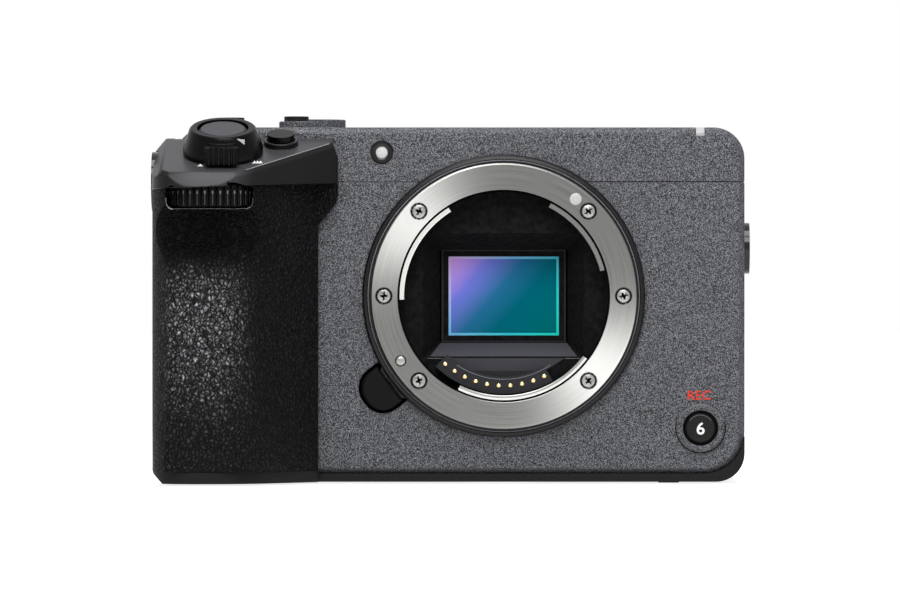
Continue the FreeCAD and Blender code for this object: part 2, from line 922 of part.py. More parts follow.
top_cover.pad("top", s.rear_dial_low - s.cover_wall, s.rear_dial_low - s.seat_gap, rectangle(
    s.rear_dial_x - s.rear_dial_radius, s.rear_dial_y - s.dial_pin - s.cover_wall,
    s.rear_dial_x + s.rear_dial_radius, s.body_back - s.cover_wall))
top_cover.pad("top", s.rear_dial_low - s.cover_wall, s.rear_dial_top,
              Circle(s.rear_dial_x, s.rear_dial_y, s.dial_pin))

chassis = Piece("chassis")
belt_outline = body_outline(as_size(0), s.cover_corner, s.base_top, s.seam_height, s.body_left)
belt_hollow = body_outline(s.cover_wall, s.cover_corner, s.base_top, s.seam_height, s.body_left)
chassis.pad("front", s.front_split, s.rear_split, belt_outline)
chassis.cut("front", s.front_split, s.wall_front, belt_hollow)
chassis.cut("front", s.wall_back, s.rear_split, belt_hollow)
chassis.cut("front", s.wall_front, s.wall_back, rectangle(
    s.body_left + s.cover_wall, s.base_top + s.cover_wall, s.wall_left, s.seam_height))
chassis.cut("top", s.base_top, s.tripod_top + s.seat_gap, Circle(0, 0, s.tripod_shank + s.fit_gap))
chassis.cut("top", s.base_top, s.base_top + s.cover_corner, rectangle(
    s.body_left + s.cover_wall, s.front_split,
    s.battery_left + s.battery_wide + s.battery_gap, s.door_back))
flap_hole = s.flap_knuckle + s.flap_gap
chassis.cut("side", s.body_left, s.body_left + s.cover_wall, rectangle(
    s.card_front - s.flap_gap, s.card_low - s.flap_gap, s.card_back + flap_hole, s.card_top + s.flap_gap))
PORTS = {
    "port_cover_usb": (s.port_low, s.port_usb_top),
    "port_cover_hdmi": (s.port_usb_top + s.port_rib, s.port_hdmi_top),
    "port_cover_audio": (s.port_hdmi_top + s.port_rib, s.port_audio_top),
}
for low, high in PORTS.values():
    chassis.cut("side", s.body_right - s.cover_wall, s.body_right, rectangle(
        s.port_front - flap_hole, low - s.flap_gap, s.port_back + s.flap_gap, high + s.flap_gap))
exhaust = chassis.cut("side", s.body_right - s.cover_wall, s.body_right, rectangle(
    s.port_front, s.exhaust_low, s.port_front + s.exhaust_wide, s.exhaust_low + s.exhaust_tall))
chassis.row(exhaust, "Y_Axis", s.exhaust_pitch, s.exhaust_count)
vent = chassis.cut("top", s.base_top, s.base_top + s.cover_wall, rectangle(
    s.vent_left, s.vent_front, s.vent_left + s.vent_long, s.vent_front + s.vent_wide))
chassis.row(vent, "Y_Axis", s.vent_pitch, s.vent_count)

rear_cover = Piece("rear_cover")
rear_cover.pad("front", s.rear_split, s.body_back, belt_outline)
rear_cover.soften("Chamfer", s.edge_round, lambda edge: on_level(edge, "Y", s.body_back)
                  and not on_level(edge, "Z", s.seam_height))
rear_cover.cut("front", s.rear_split, s.body_back - s.cover_wall, belt_hollow)
rear_cover.pad("front", s.body_back, s.body_back + s.thumb_high, rectangle(
    s.thumb_left, s.thumb_low, s.thumb_right, s.thumb_top, s.thumb_corner))
rear_cover.soften("Chamfer", s.edge_round, lambda edge: on_level(edge, "Y", s.body_back + s.thumb_high))
REAR_BUTTONS = {
    "fn_button": (s.fn_x, s.fn_z),
    "menu_button": (s.menu_x, s.menu_z),
    "play_button": (s.play_x, s.play_z),
    "delete_button": (s.delete_x, s.delete_z),
}
rear_holes = [Circle(x, z, s.rear_button + s.seat_gap) for x, z in REAR_BUTTONS.values()]
rear_holes.append(Circle(s.wheel_x, s.wheel_z, s.wheel_button + s.seat_gap))
rear_holes.append(Circle(s.stick_x, s.stick_z, s.gimbal_radius + s.seat_gap))
rear_cover.cut("front", s.body_back - s.cover_wall, s.body_back, *rear_holes)
rear_cover.cut("front", s.body_back - s.wheel_seat, s.body_back,
               Circle(s.wheel_x, s.wheel_z, s.wheel_radius + s.seat_gap))
rear_cover.pad("front", s.body_back - s.wheel_seat, s.body_back,
               Circle(s.wheel_x, s.wheel_z, s.wheel_bore - s.run_gap))
rear_cover.cut("front", s.body_back - s.wheel_seat, s.body_back,
               Circle(s.wheel_x, s.wheel_z, s.wheel_button + s.seat_gap))
arm_axis_y = s.body_back + s.monitor_gap + s.arm_thick * 0.5
lug_outline = [
    (s.arm_axis_x - s.arm_thick * 0.5, s.body_back),
    (s.arm_axis_x + s.arm_thick * 0.5, s.body_back),
    (s.arm_axis_x + s.arm_thick * 0.5, arm_axis_y + s.arm_thick * 0.5, s.barrel_radius),
    (s.arm_axis_x - s.arm_thick * 0.5, arm_axis_y + s.arm_thick * 0.5, s.barrel_radius),
]
lug_levels = [
    (s.arm_low - s.seat_gap - s.lug_long, s.arm_low - s.seat_gap),
    (s.arm_top + s.seat_gap, s.arm_top + s.seat_gap + s.lug_long),
]
for low, high in lug_levels:
    rear_cover.pad("top", low, high, lug_outline)
    rear_cover.cut("top", low, high, Circle(s.arm_axis_x, arm_axis_y, s.arm_pin + s.fit_gap))


def grip_plan(front, inset):
    """The hand grip's outline seen from above, without the line that closes it at the back."""
    return [
        (s.body_left + inset, s.front_split),
        (s.grip_left + inset, s.grip_side_y, s.grip_side_round),
        (s.grip_left + inset, front + inset, s.grip_nose_round - inset),
        (s.grip_bulge_right - inset, front + inset, s.grip_bulge_round - inset),
        (s.grip_valley_x - inset, s.grip_valley_y + inset, s.grip_valley_round),
        (s.grip_right - inset, s.body_front - s.grip_pad + inset, s.skin_round - inset),
        (s.grip_right - inset, s.body_front),
    ]


bottom_cover = Piece("bottom_cover")
bottom_cover.pad("top", s.base_low, s.base_top, [
    *grip_plan(s.grip_foot_y, as_size(0)),
    (0, s.body_front),
    (0, s.front_split),
])
bottom_cover.pad("top", s.base_low, s.grip_base_top, [
    *grip_plan(s.grip_foot_y, as_size(0)),
    (s.grip_joint, s.body_front),
    (s.grip_joint, s.front_split),
])
bottom_cover.cut("front", s.grip_foot_y - s.beyond, s.front_split, [
    (s.grip_left - s.beyond, s.base_low - s.beyond),
    (s.grip_left + s.grip_base_bevel + s.beyond, s.base_low - s.beyond),
    (s.grip_left - s.beyond, s.base_low + s.grip_base_bevel + s.beyond),
])
crescent_top = s.base_top + s.crescent_tall
bottom_cover.pad("front", s.body_front, s.body_back, [
    (0, s.base_low),
    (s.body_right, s.base_low, s.base_corner),
    (s.body_right, crescent_top),
    (0, crescent_top),
])
bottom_cover.pad("front", s.front_split, s.body_back, [
    (s.body_left, s.base_low, s.base_corner),
    (0, s.base_low),
    (0, crescent_top),
    (s.body_left, crescent_top),
])
bottom_cover.cut("front", s.front_split, s.body_back, [
    (s.body_left, s.base_top, s.cover_corner),
    (0, s.base_top),
    (0, s.seam_height),
    (s.body_left, s.seam_height),
])
bottom_cover.cut("front", s.body_front, s.body_back, [
    (0, s.base_top),
    (s.body_right, s.base_top, s.cover_corner),
    (s.body_right, s.seam_height),
    (0, s.seam_height),
])
battery_passage = rectangle(
    s.body_left + s.cover_wall, s.front_split,
    s.battery_left + s.battery_wide + s.battery_gap, s.door_back)
bottom_cover.cut("top", s.base_top, crescent_top, battery_passage)
bottom_cover.cut("top", s.base_low, s.base_top, Circle(0, 0, s.tripod_flange + s.fit_gap))
door_slit = s.door_knuckle + s.slack
bottom_cover.cut("top", s.base_low, s.grip_base_top, rectangle(
    s.door_left - s.flap_gap, s.door_front - s.flap_gap, s.door_hinge_x + door_slit, s.door_back + s.flap_gap))
door_hinge_z = s.base_low + s.door_knuckle
bottom_cover.cut("front", s.door_front - s.flap_gap - s.door_pin_long, s.door_back + s.flap_gap + s.door_pin_long,
                 flats(s.door_hinge_x, door_hinge_z, s.door_pin + s.run_gap))
base_vent = bottom_cover.cut("top", s.base_low, s.base_top, rectangle(
    s.vent_left, s.vent_front, s.vent_left + s.vent_long, s.vent_front + s.vent_wide))
bottom_cover.row(base_vent, "Y_Axis", s.vent_pitch, s.vent_count)

feet = Piece("feet")
feet.pad("top", 0, s.base_low, *[
    centred(2 * s.foot_radius, s.foot_radius, 0, x, y)
    for x, y in [(s.foot_left_x, s.foot_back_y), (s.foot_right_x, s.foot_back_y), (s.foot_right_x, s.foot_front_y)]
])

tripod_boss = Piece("tripod_boss")
tripod_boss.pad("top", 0, s.base_top, Circle(0, 0, s.tripod_flange))
tripod_boss.pad("top", s.base_top, s.tripod_top, Circle(0, 0, s.tripod_shank))
tripod_boss.cut("top", 0, s.tripod_deep, Circle(0, 0, s.thread_radius))

# Threaded sockets on the top and on the two sides

thread_inserts = Piece("thread_inserts")
for x, y in TOP_INSERTS:
    thread_inserts.pad("top", s.body_top - s.insert_deep, s.body_top, Circle(x, y, s.insert_radius))
    thread_inserts.cut("top", s.body_top - s.insert_deep, s.body_top, Circle(x, y, s.thread_radius))
right_face = s.body_right + s.boss_right_high
thread_inserts.pad("side", s.body_right - s.insert_deep, s.body_right,
                   Circle(s.boss_right_y, s.boss_right_z, s.insert_radius))
thread_inserts.pad("side", s.body_right, right_face, Circle(s.boss_right_y, s.boss_right_z, s.boss_right_radius))
thread_inserts.cut("side", s.body_right - s.insert_deep, right_face,
                   Circle(s.boss_right_y, s.boss_right_z, s.thread_radius))
left_face = s.grip_left - s.boss_left_high
left_seat = s.grip_left + s.skin_thick
left_end = s.grip_left + s.boss_left_deep
thread_inserts.pad("side", left_face, left_seat, Circle(s.boss_left_y, s.boss_left_z, s.boss_left_radius))
thread_inserts.pad("side", left_seat, left_end, Circle(s.boss_left_y, s.boss_left_z, s.insert_radius))
thread_inserts.cut("side", left_face, left_end, Circle(s.boss_left_y, s.boss_left_z, s.thread_radius))
left_flange_hole = Circle(s.boss_left_y, s.boss_left_z, s.boss_left_radius + s.fit_gap)
left_insert_hole = Circle(s.boss_left_y, s.boss_left_z, s.insert_radius + s.fit_gap)

# Lens mount

mount = (0, 0, s.mount_height)

mount_base_ring = Piece("mount_base_ring", at=mount, facing="front")
flange_back = s.flange_face - s.flange_thick
pin_x, pin_z = polar(s.pin_circle, s.pin_angle)
mount_base_ring.turn([
    (s.ring_inner, -s.body_front),
    (s.ring_radius, -s.body_front),
    (s.ring_radius, s.ring_lip),
    (s.flange_radius + s.fit_gap, s.ring_lip),
    (s.flange_radius + s.fit_gap, flange_back),
    (s.ring_inner, flange_back),
])
mount_base_ring.cut("top", -s.body_front, flange_back, Circle(pin_x, pin_z, s.pin_radius + s.run_gap))
SCREW_ANGLES = [0, 45, 135, 180, 225, 315]


def screw_points():
    return [polar(s.screw_circle, as_size(angle)) for angle in SCREW_ANGLES]


def contact_spot(number):
    return polar(s.contact_row, s.contact_first + s.contact_step * number)


mount_flange = Piece("mount_flange", at=mount, facing="front")
throat_end = s.flange_face - s.throat_long
relief_radius = s.throat_radius + s.throat_relief
mount_flange.turn([
    (relief_radius, flange_back),
    (s.flange_radius, flange_back),
    *bevel(s.flange_radius, s.flange_face, s.flange_bevel),
    (s.throat_radius, s.flange_face),
    (s.throat_radius, throat_end),
    (relief_radius, throat_end),
])
CLAWS = [
    (s.claw_one_start, s.claw_one_sweep),
    (s.claw_two_start, s.claw_two_sweep),
    (s.claw_three_start, s.claw_three_sweep),
]
claw_root = relief_radius + s.throat_relief
claw_outline = [
    (s.claw_radius, flange_back),
    (claw_root, flange_back),
    (claw_root, s.flange_face - s.claw_back),
    (s.claw_radius, s.flange_face - s.claw_back),
]
for start, sweep in CLAWS:
    mount_flange.turn(claw_outline, start=start, sweep=sweep)
SCREW_SIDES = 12
mount_flange.cut("top", flange_back, s.flange_face, *[
    flats(u, v, s.screw_head + s.run_gap, SCREW_SIDES) for u, v in screw_points()])
mount_flange.cut("top", flange_back, s.flange_face, Circle(pin_x, pin_z, s.pin_radius + s.run_gap))

mount_screws = Piece("mount_screws", at=mount, facing="front")
mount_screws.pad("top", flange_back, s.flange_face - s.screw_seat, *[
    flats(u, v, s.screw_head, SCREW_SIDES) for u, v in screw_points()])

lock_pin = Piece("lock_pin", at=mount, facing="front")
lock_pin.pad("top", s.pin_tail, s.pin_tip, Circle(pin_x, pin_z, s.pin_radius))

lens_release_button = Piece("lens_release_button", at=mount, facing="front")
lens_release_button.pad("top", s.release_tail, s.release_face, [
    (s.release_in, -s.release_half),
    (s.release_out, -s.release_half, s.release_corner),
    (s.release_out, s.release_half, s.release_corner),
    (s.release_in, s.release_half),
], spin=s.release_angle)
lens_release_button.soften("Chamfer", s.release_bevel, lambda edge: on_level(edge, "Z", s.release_face))

# Lens chamber and image sensor

light_box = Piece("light_box", at=mount, facing="front")
light_box.pad("top", s.box_back, s.box_shoulder, centred(s.box_wide, s.box_tall))
light_box.pad("top", s.box_shoulder, -s.body_front, Circle(0, 0, s.box_front_radius))
light_box.cut("top", s.box_floor, -s.body_front, Circle(0, 0, s.box_bore))
chamber_deep = s.box_floor - s.box_back
light_box.wedge(
    s.box_back, s.box_floor,
    (s.chamber_wide - 2 * chamber_deep * tangent(s.chamber_taper),
     s.chamber_tall - 2 * chamber_deep * tangent(s.chamber_taper)),
    (s.chamber_wide, s.chamber_tall))

contact_block = Piece("contact_block", at=mount, facing="front")
contact_block.turn([
    (s.contact_in, s.box_floor),
    (s.contact_out, s.box_floor),
    (s.contact_out, s.contact_face),
    (s.contact_in, s.contact_face),
], start=s.contact_start, sweep=s.contact_sweep)

contact_pins = Piece("contact_pins", at=mount, facing="front")
contact_pins.pad("top", s.contact_face, s.contact_face + s.contact_high, *[
    flats(*contact_spot(i), s.contact_pin) for i in range(int(s.contact_count.number))])

sensor_window = Piece("sensor_window", at=mount, facing="front")
sensor_window.pad("top", s.glass_back, s.glass_front, centred(s.sensor_wide, s.sensor_tall))

sensor_carrier = Piece("sensor_carrier", at=mount, facing="front")
sensor_carrier.pad("top", s.plate_back, s.plate_front, centred(s.plate_wide, s.plate_tall))
sensor_carrier.pad("top", s.plate_front, s.frame_front, centred(s.frame_wide, s.frame_tall, s.frame_corner))
sensor_carrier.cut("top", s.glass_back, s.frame_front, centred(s.sensor_wide, s.sensor_tall))

stabiliser_frame = Piece("stabiliser_frame", at=mount, facing="front")
stabiliser_frame.pad("top", s.stabiliser_back, s.stabiliser_front, centred(
    s.stabiliser_wide, s.stabiliser_tall))
stabiliser_frame.cut("top", s.stabiliser_back, s.stabiliser_front, centred(
    s.stabiliser_window_wide, s.stabiliser_window_tall))

# Cooling block, fan and main board

cooling_block = Piece("cooling_block")
cooling_block.pad("front", s.wall_back, s.cooler_back, rectangle(
    s.cooler_left, s.cooler_low, s.cooler_right, s.cooler_top, s.cooler_corner))
well_floor = s.cooler_back - s.fan_depth - s.fin_land
cooling_block.cut("front", well_floor, s.cooler_back, Circle(s.fan_x, s.fan_z, s.fan_well))
cooling_block.pad("front", well_floor, s.cooler_back - s.seat_gap, Circle(s.fan_x, s.fan_z, s.fan_shaft))
fin = cooling_block.cut("front", s.cooler_back - s.fin_depth, s.cooler_back, rectangle(
    s.cooler_left, s.fan_z + s.fan_well + s.fin_width, s.cooler_right, s.fan_z + s.fan_well + 2 * s.fin_width))
cooling_block.row(fin, "Z_Axis", s.fin_pitch, s.fin_count)

fan_rotor = Piece("fan_rotor", at=(s.fan_x, s.cooler_back, s.fan_z), facing="back")
fan_rotor.pad("top", -s.fan_depth, -s.seat_gap, Circle(0, 0, s.fan_hub))
blade = fan_rotor.pad("top", -s.fan_depth, -s.seat_gap, [
    (s.fan_hub - s.fan_blade, 0),
    polar(s.fan_radius, s.fan_lead),
    polar(s.fan_radius, s.fan_lead + s.fan_tip),
    (s.fan_hub - s.fan_blade, s.fan_blade),
])
fan_rotor.around(blade, s.fan_blades)
fan_rotor.cut("top", -s.fan_depth, -s.seat_gap, Circle(0, 0, s.fan_shaft + s.fit_gap))

main_board = Piece("main_board")
board_back = s.cooler_back + s.board_thick
main_board.pad("front", s.cooler_back, board_back, rectangle(
    s.board_left, s.board_low, s.board_right, s.board_top, s.board_corner))
main_board.pad("front", board_back, board_back + s.chip_tall,
               centred(s.chip_size, s.chip_size, 0, s.shoe_x, s.mount_height),
               centred(s.chip_small_wide, s.chip_small_tall, 0, s.fan_x, s.mount_height),
               centred(s.chip_small_wide, s.chip_small_tall, 0, s.insert_left_x, s.mount_height))

# Grip


def grip_form(name, inset, low):
    """The hand grip's plan outline, cut in front by its side profile."""
    piece = Piece(name)
    inset = as_size(inset)
    piece.pad("top", low, s.seam_height, [
        *grip_plan(s.grip_front, inset),
        (s.grip_joint, s.body_front),
        (s.grip_joint, s.front_split),
    ])
    piece.pad("front", s.body_front - s.grip_pad + inset, s.body_front, [
        (s.grip_valley_x, s.shoulder_low - s.grip_pad),
        (s.grip_right - inset, s.shoulder_low),
        (s.deck_right - inset, s.shoulder_top, s.shoulder_round),
        (s.deck_right - inset, s.seam_height),
        (s.grip_valley_x, s.seam_height),
    ])
    piece.cut("side", s.grip_left - s.beyond, s.grip_right + s.beyond, [
        (s.grip_front - s.beyond, s.base_low),
        (s.grip_foot_y + inset, s.base_low),
        (s.grip_palm_y + inset, s.grip_palm_low, s.palm_low_round),
        (s.grip_palm_y + inset, s.grip_palm_top, s.palm_top_round),
        (s.grip_waist_y + inset, s.grip_waist_z, s.waist_round),
        (s.grip_front + inset, s.grip_lip_z, s.lip_round),
        (s.grip_front + inset, s.seam_height),
        (s.grip_front - s.beyond, s.seam_height),
    ])
    piece.cut("front", s.grip_front, s.front_split, [
        (s.grip_left - s.beyond, s.skin_left_top),
        (s.deck_right + s.beyond, s.skin_right_top),
        (s.deck_right + s.beyond, s.body_top),
        (s.grip_left - s.beyond, s.body_top),
    ])
    return piece


window_half = s.dial_radius - s.run_gap


def cut_window(piece):
    """The window that the front dial looks out of."""
    piece.cut("front", s.grip_front, s.dial_y, [
        (s.dial_x - window_half, s.window_low, s.window_round),
        (s.dial_x + window_half, s.window_low, s.window_round),
        (s.dial_x + window_half, s.window_top - s.window_arch),
        (s.dial_x + s.window_flat, s.window_top),
        (s.dial_x - s.window_flat, s.window_top),
        (s.dial_x - window_half, s.window_top - s.window_arch),
    ])
    piece.cut("top", s.window_low, s.window_top, Circle(s.dial_x, s.dial_y, s.dial_radius + s.seat_gap))


grip_shell = grip_form("grip_shell", s.skin_thick, s.grip_base_top)
grip_shell.cut("top", s.grip_base_top, s.battery_low + s.battery_tall + s.battery_gap, rectangle(
    s.battery_left - s.battery_gap, s.battery_front - s.battery_gap,
    s.battery_left + s.battery_wide + s.battery_gap, s.front_split))
cut_window(grip_shell)
grip_shell.pad("top", s.window_low - s.seat_gap, s.dial_top, Circle(s.dial_x, s.dial_y, s.dial_pin))
grip_shell.cut("side", left_seat, left_end, left_insert_hole)

grip_core = grip_form("grip_core", s.skin_thick, s.grip_base_top)
grip_outer = grip_form("grip_outer", 0, s.skin_low)
cut_window(grip_outer)
grip_outer.cut("side", s.grip_left, left_seat, left_flange_hole)
grip_skin = doc.addObject("Part::Cut", "grip_skin")
grip_skin.Base = grip_outer.body
grip_skin.Tool = grip_core.body

# Grip top with its sloping deck

grip_top = Piece("grip_top")
deck_drop = tangent(s.deck_tilt)


def deck_height(y):
    """The sloping deck's height at a distance along Y."""
    return s.deck_back_z + (y - s.body_front) * deck_drop


def cheek_outline(top):
    """The triangle that slants the deck's left side below a top level."""
    outer = s.deck_left - s.cheek_wide
    return [
        (s.deck_left + 2 * s.cheek_wide, top + s.cheek_tall),
        (outer, top + s.cheek_tall),
        (outer, top - 2 * s.cheek_tall),
    ]


def on_deck(edge):
    """Whether an edge lies in the sloping deck."""
    ends = [point.Point for point in edge.Vertexes]
    return all(abs(end.z - deck_height(as_size(end.y)).number) < NEAR for end in ends)


deck_end = s.deck_front - s.beyond
grip_top.pad("top", s.skin_left_top - s.small_round, s.body_top, [
    (s.body_left, s.front_split),
    (s.deck_left, s.grip_side_y, s.grip_side_round),
    (s.deck_left, s.deck_front, s.grip_nose_round),
    (s.deck_bulge_right, s.deck_front, s.grip_bulge_round),
    (s.deck_right, s.body_front - s.grip_pad, s.skin_round),
    (s.deck_right, s.body_front),
    (s.body_left, s.body_front),
])
grip_top.cut("side", s.grip_left - s.beyond, s.deck_right + s.beyond, [
    (s.front_split, s.deck_back_z),
    (s.body_front, s.deck_back_z, s.deck_round),
    (deck_end, deck_height(deck_end)),
    (deck_end, s.body_top),
    (s.front_split, s.body_top),
])
grip_top.cut("front", deck_end, s.front_split, [
    (s.grip_left - s.beyond, s.skin_left_top - 2 * s.small_round),
    (s.deck_right + s.beyond, s.skin_left_top - 2 * s.small_round),
    (s.deck_right + s.beyond, s.skin_right_top),
    (s.grip_left - s.beyond, s.skin_left_top),
])
grip_top.soften("Chamfer", s.deck_edge, on_deck)
grip_top.cut("front", deck_end, s.front_split, cheek_outline(s.deck_back_z))
grip_top.cut("front", 0, s.front_split - deck_end, cheek_outline(0),
             around=(0, deck_end, deck_height(deck_end)), lean=s.deck_tilt)
brow_z = deck_height(s.deck_front + s.brow_wide)
grip_top.cut("side", s.grip_left - s.beyond, s.deck_right, [
    (s.deck_front - s.beyond, s.brow_low),
    (s.deck_front, s.brow_low),
    (s.deck_front + 2 * s.brow_wide, 2 * brow_z - s.brow_low),
    (s.deck_front - s.beyond, 2 * brow_z - s.brow_low),
])
grip_top.cut("front", deck_end, s.front_split, [
    (s.deck_right, s.deck_shoulder_z),
    (s.deck_right + s.beyond, s.deck_shoulder_z),
    (s.deck_right + s.beyond, s.body_top),
    (s.deck_right - s.deck_shoulder, s.body_top),
])
cut_window(grip_top)
grip_top.cut("side", s.grip_left, left_seat, left_flange_hole)
grip_top.cut("side", left_seat, left_end, left_insert_hole)
lever_place = (s.lever_x, s.lever_y, deck_height(s.lever_y))
grip_button_place = (s.grip_button_x, s.grip_button_y, deck_height(s.grip_button_y))
grip_top.pad("top", -s.small_round, s.lever_boss_high, Circle(0, 0, s.lever_bore - s.run_gap),
             around=lever_place, lean=s.deck_tilt)
grip_top.cut("top", -s.stem_deep, s.lever_boss_high, Circle(0, 0, s.stem_radius + s.run_gap),
             around=lever_place, lean=s.deck_tilt)
grip_top.pad("top", -s.small_round, s.grip_button_ring_high, Circle(0, 0, s.grip_button_ring),
             around=grip_button_place, lean=s.deck_tilt)
grip_top.cut("top", -s.stem_deep * 0.5, s.grip_button_ring_high, Circle(0, 0, s.grip_button_radius + s.run_gap),
             around=grip_button_place, lean=s.deck_tilt)

zoom_lever = Piece("zoom_lever", at=lever_place, lean=s.deck_tilt)
zoom_lever.turn([
    (s.lever_bore, s.seat_gap),
    (s.lever_base, s.seat_gap),
    (s.lever_base, s.lever_skirt),
    *bevel(s.lever_rim, s.lever_high, s.lever_bevel),
    (s.lever_bore, s.lever_high),
])
tab_root = -s.lever_bore - s.lever_skirt
zoom_lever.pad("top", s.seat_gap + s.lever_bevel, s.tab_high, [
    (-s.tab_flare, -s.tab_reach, s.tab_corner),
    (s.tab_flare, -s.tab_reach, s.tab_corner),
    (s.tab_half, tab_root),
    (-s.tab_half, tab_root),
])
first_rib = s.tab_rib_pitch * (s.tab_rib_count - 1) * -0.5
tab_rib = zoom_lever.cut("top", s.seat_gap, s.tab_high, rectangle(
    first_rib - s.tab_rib * 0.5, -s.tab_reach - s.tab_rib,
    first_rib + s.tab_rib * 0.5, -s.tab_reach + s.tab_rib))
zoom_lever.row(tab_rib, "X_Axis", s.tab_rib_pitch, s.tab_rib_count)

shutter_button = Piece("shutter_button", at=lever_place, lean=s.deck_tilt)
shutter_under = s.shutter_top - s.shutter_cap
shutter_button.turn([
    (0, -s.stem_deep + s.shutter_travel + s.seat_gap),
    (s.stem_radius, -s.stem_deep + s.shutter_travel + s.seat_gap),
    (s.stem_radius, shutter_under),
    (s.shutter_radius, shutter_under),
    *bevel(s.shutter_radius, s.shutter_top, s.shutter_bevel),
    (0, s.shutter_top),
])

grip_button = Piece("grip_button", at=grip_button_place, lean=s.deck_tilt)
grip_button.turn([
    (0, -s.stem_deep * 0.5 + s.button_travel + s.seat_gap),
    (s.grip_button_radius, -s.stem_deep * 0.5 + s.button_travel + s.seat_gap),
    (s.grip_button_radius, s.grip_button_top),
    (0, s.grip_button_top),
])

# Control dials

RIBBED_DIALS = {
    "front_dial": ((s.dial_x, s.dial_y, 0), s.dial_radius, s.dial_low, s.dial_top),
    "rear_dial": ((s.rear_dial_x, s.rear_dial_y, 0), s.rear_dial_radius, s.rear_dial_low, s.rear_dial_top),
}
for name, (place, radius, low, high) in RIBBED_DIALS.items():
    dial = Piece(name, at=place)
    dial.turn([
        (s.dial_pin + s.fit_gap, low),
        (radius, low),
        (radius, high),
        (s.dial_pin + s.fit_gap, high),
    ])
    rib = dial.cut("top", low, high, [
        (radius - s.dial_rib_deep, 0),
        (radius + s.dial_clear, -s.dial_rib_wide),
        (radius + s.dial_clear, s.dial_rib_wide),
    ])
    dial.around(rib, s.dial_ribs)

# Top buttons

for name, (x, y) in TOP_BUTTONS.items():
    radius, top, _, _ = top_button(name)
    button = Piece(name, at=(x, y, s.body_top))
    under = -s.cover_wall - s.seat_gap
    button.turn([
        (0, under - s.button_flange_high),
        (radius + s.button_flange, under - s.button_flange_high),
        (radius + s.button_flange, under),
        (radius, under),
        (radius, top - s.body_top),
        (0, top - s.body_top),
    ])

# Accessory shoe

hot_shoe = Piece("hot_shoe")
hot_shoe.pad("front", s.shoe_front, s.body_back, [
    (s.shoe_x - shoe_half, s.shoe_low),
    (s.shoe_x + shoe_half, s.shoe_low),
    (s.shoe_x + shoe_half, s.body_top),
    (s.shoe_x - shoe_half, s.body_top),
])
rail_half = s.shoe_rail_gap * 0.5
slot_half = s.shoe_slot_wide * 0.5
slot_top = s.shoe_floor + s.shoe_slot_tall
hot_shoe.cut("front", s.shoe_front + s.cover_wall, s.body_back, [
    (s.shoe_x - slot_half, s.shoe_floor),
    (s.shoe_x + slot_half, s.shoe_floor),
    (s.shoe_x + slot_half, slot_top),
    (s.shoe_x + rail_half, slot_top),
    (s.shoe_x + rail_half, s.body_top),
    (s.shoe_x - rail_half, s.body_top),
    (s.shoe_x - rail_half, slot_top),
    (s.shoe_x - slot_half, slot_top),
])

# Front button, tally lamp and light sensor

button_six = Piece("button_six", at=(s.button_six_x, 0, s.button_six_z), facing="front")
flange_rear = -s.body_front - s.cover_wall - s.seat_gap
button_six.turn([
    (0, s.button_six_tail),
    (s.button_six_well + s.button_flange, s.button_six_tail),
    (s.button_six_well + s.button_flange, flange_rear),
    (s.button_six_radius, flange_rear),
    (s.button_six_radius, s.button_six_face),
    (0, s.button_six_face),
])

tally_lamp = Piece("tally_lamp")
tally_lamp.pad("front", s.body_front, s.body_front + s.tally_deep, tally_outline)
tally_lamp.soften("Chamfer", s.edge_round, lambda edge: on_level(edge, "Y", s.body_front)
                  and on_level(edge, "Z", s.body_top))

light_sensor = Piece("light_sensor", at=(s.light_x, 0, s.light_z), facing="front")
light_sensor.pad("top", -s.body_front - s.light_deep, -s.body_front, Circle(0, 0, s.light_radius))

# Battery, its door and the latch

battery = Piece("battery")
battery.pad("top", s.battery_low, s.battery_low + s.battery_tall, rectangle(
    s.battery_left, s.battery_front, s.battery_left + s.battery_wide,
    s.battery_front + s.battery_long, s.battery_corner))

battery_door = Piece("battery_door")
battery_door.pad("top", s.base_low, s.base_top, rectangle(
    s.door_left, s.door_front, s.door_hinge_x, s.door_back))
battery_door.pad("front", s.door_front, s.door_back, Circle(s.door_hinge_x, door_hinge_z, s.door_knuckle))
battery_door.pad("front", s.door_front - s.flap_gap - s.door_pin_long + s.run_gap,
                 s.door_back + s.flap_gap + s.door_pin_long - s.run_gap,
                 flats(s.door_hinge_x, door_hinge_z, s.door_pin))
battery_door.pad("top", 0, s.base_low, centred(2 * s.foot_radius, s.foot_radius, 0, s.foot_left_x, s.foot_door_y))
latch_half = s.latch_long * 0.5
battery_door.cut("top", s.base_low, s.base_low + s.latch_thick + s.run_gap, rectangle(
    s.door_left, s.latch_y - latch_half - s.run_gap,
    s.latch_left + s.latch_wide + s.latch_throw + s.seat_gap, s.latch_y + latch_half + s.run_gap))
bottom_cover.cut("top", s.base_low, s.base_low + s.latch_thick + s.run_gap, rectangle(
    s.door_left - s.flap_gap - s.latch_throw - s.seat_gap, s.latch_y - latch_half - s.seat_gap,
    s.door_left, s.latch_y + latch_half + s.seat_gap))

battery_door_latch = Piece("battery_door_latch")
battery_door_latch.pad("top", s.base_low, s.base_low + s.latch_thick, rectangle(
    s.latch_left, s.latch_y - latch_half, s.latch_left + s.latch_wide, s.latch_y + latch_half,
    s.latch_corner))

# Card slots and their door

card_slots = Piece("card_slots")
card_slots.pad("front", board_back, s.slot_back, rectangle(
    s.slot_left, s.slot_low, s.slot_right, s.slot_top))
slot_middle = (s.slot_low + s.slot_top) * 0.5
slot_quarter = (s.slot_back - board_back) * 0.25
for share in (1, 3):
    card_slots.cut("side", s.slot_left, s.slot_right - s.cover_wall, centred(
        s.slot_mouth, s.slot_mouth_tall, 0, board_back + slot_quarter * share, slot_middle))

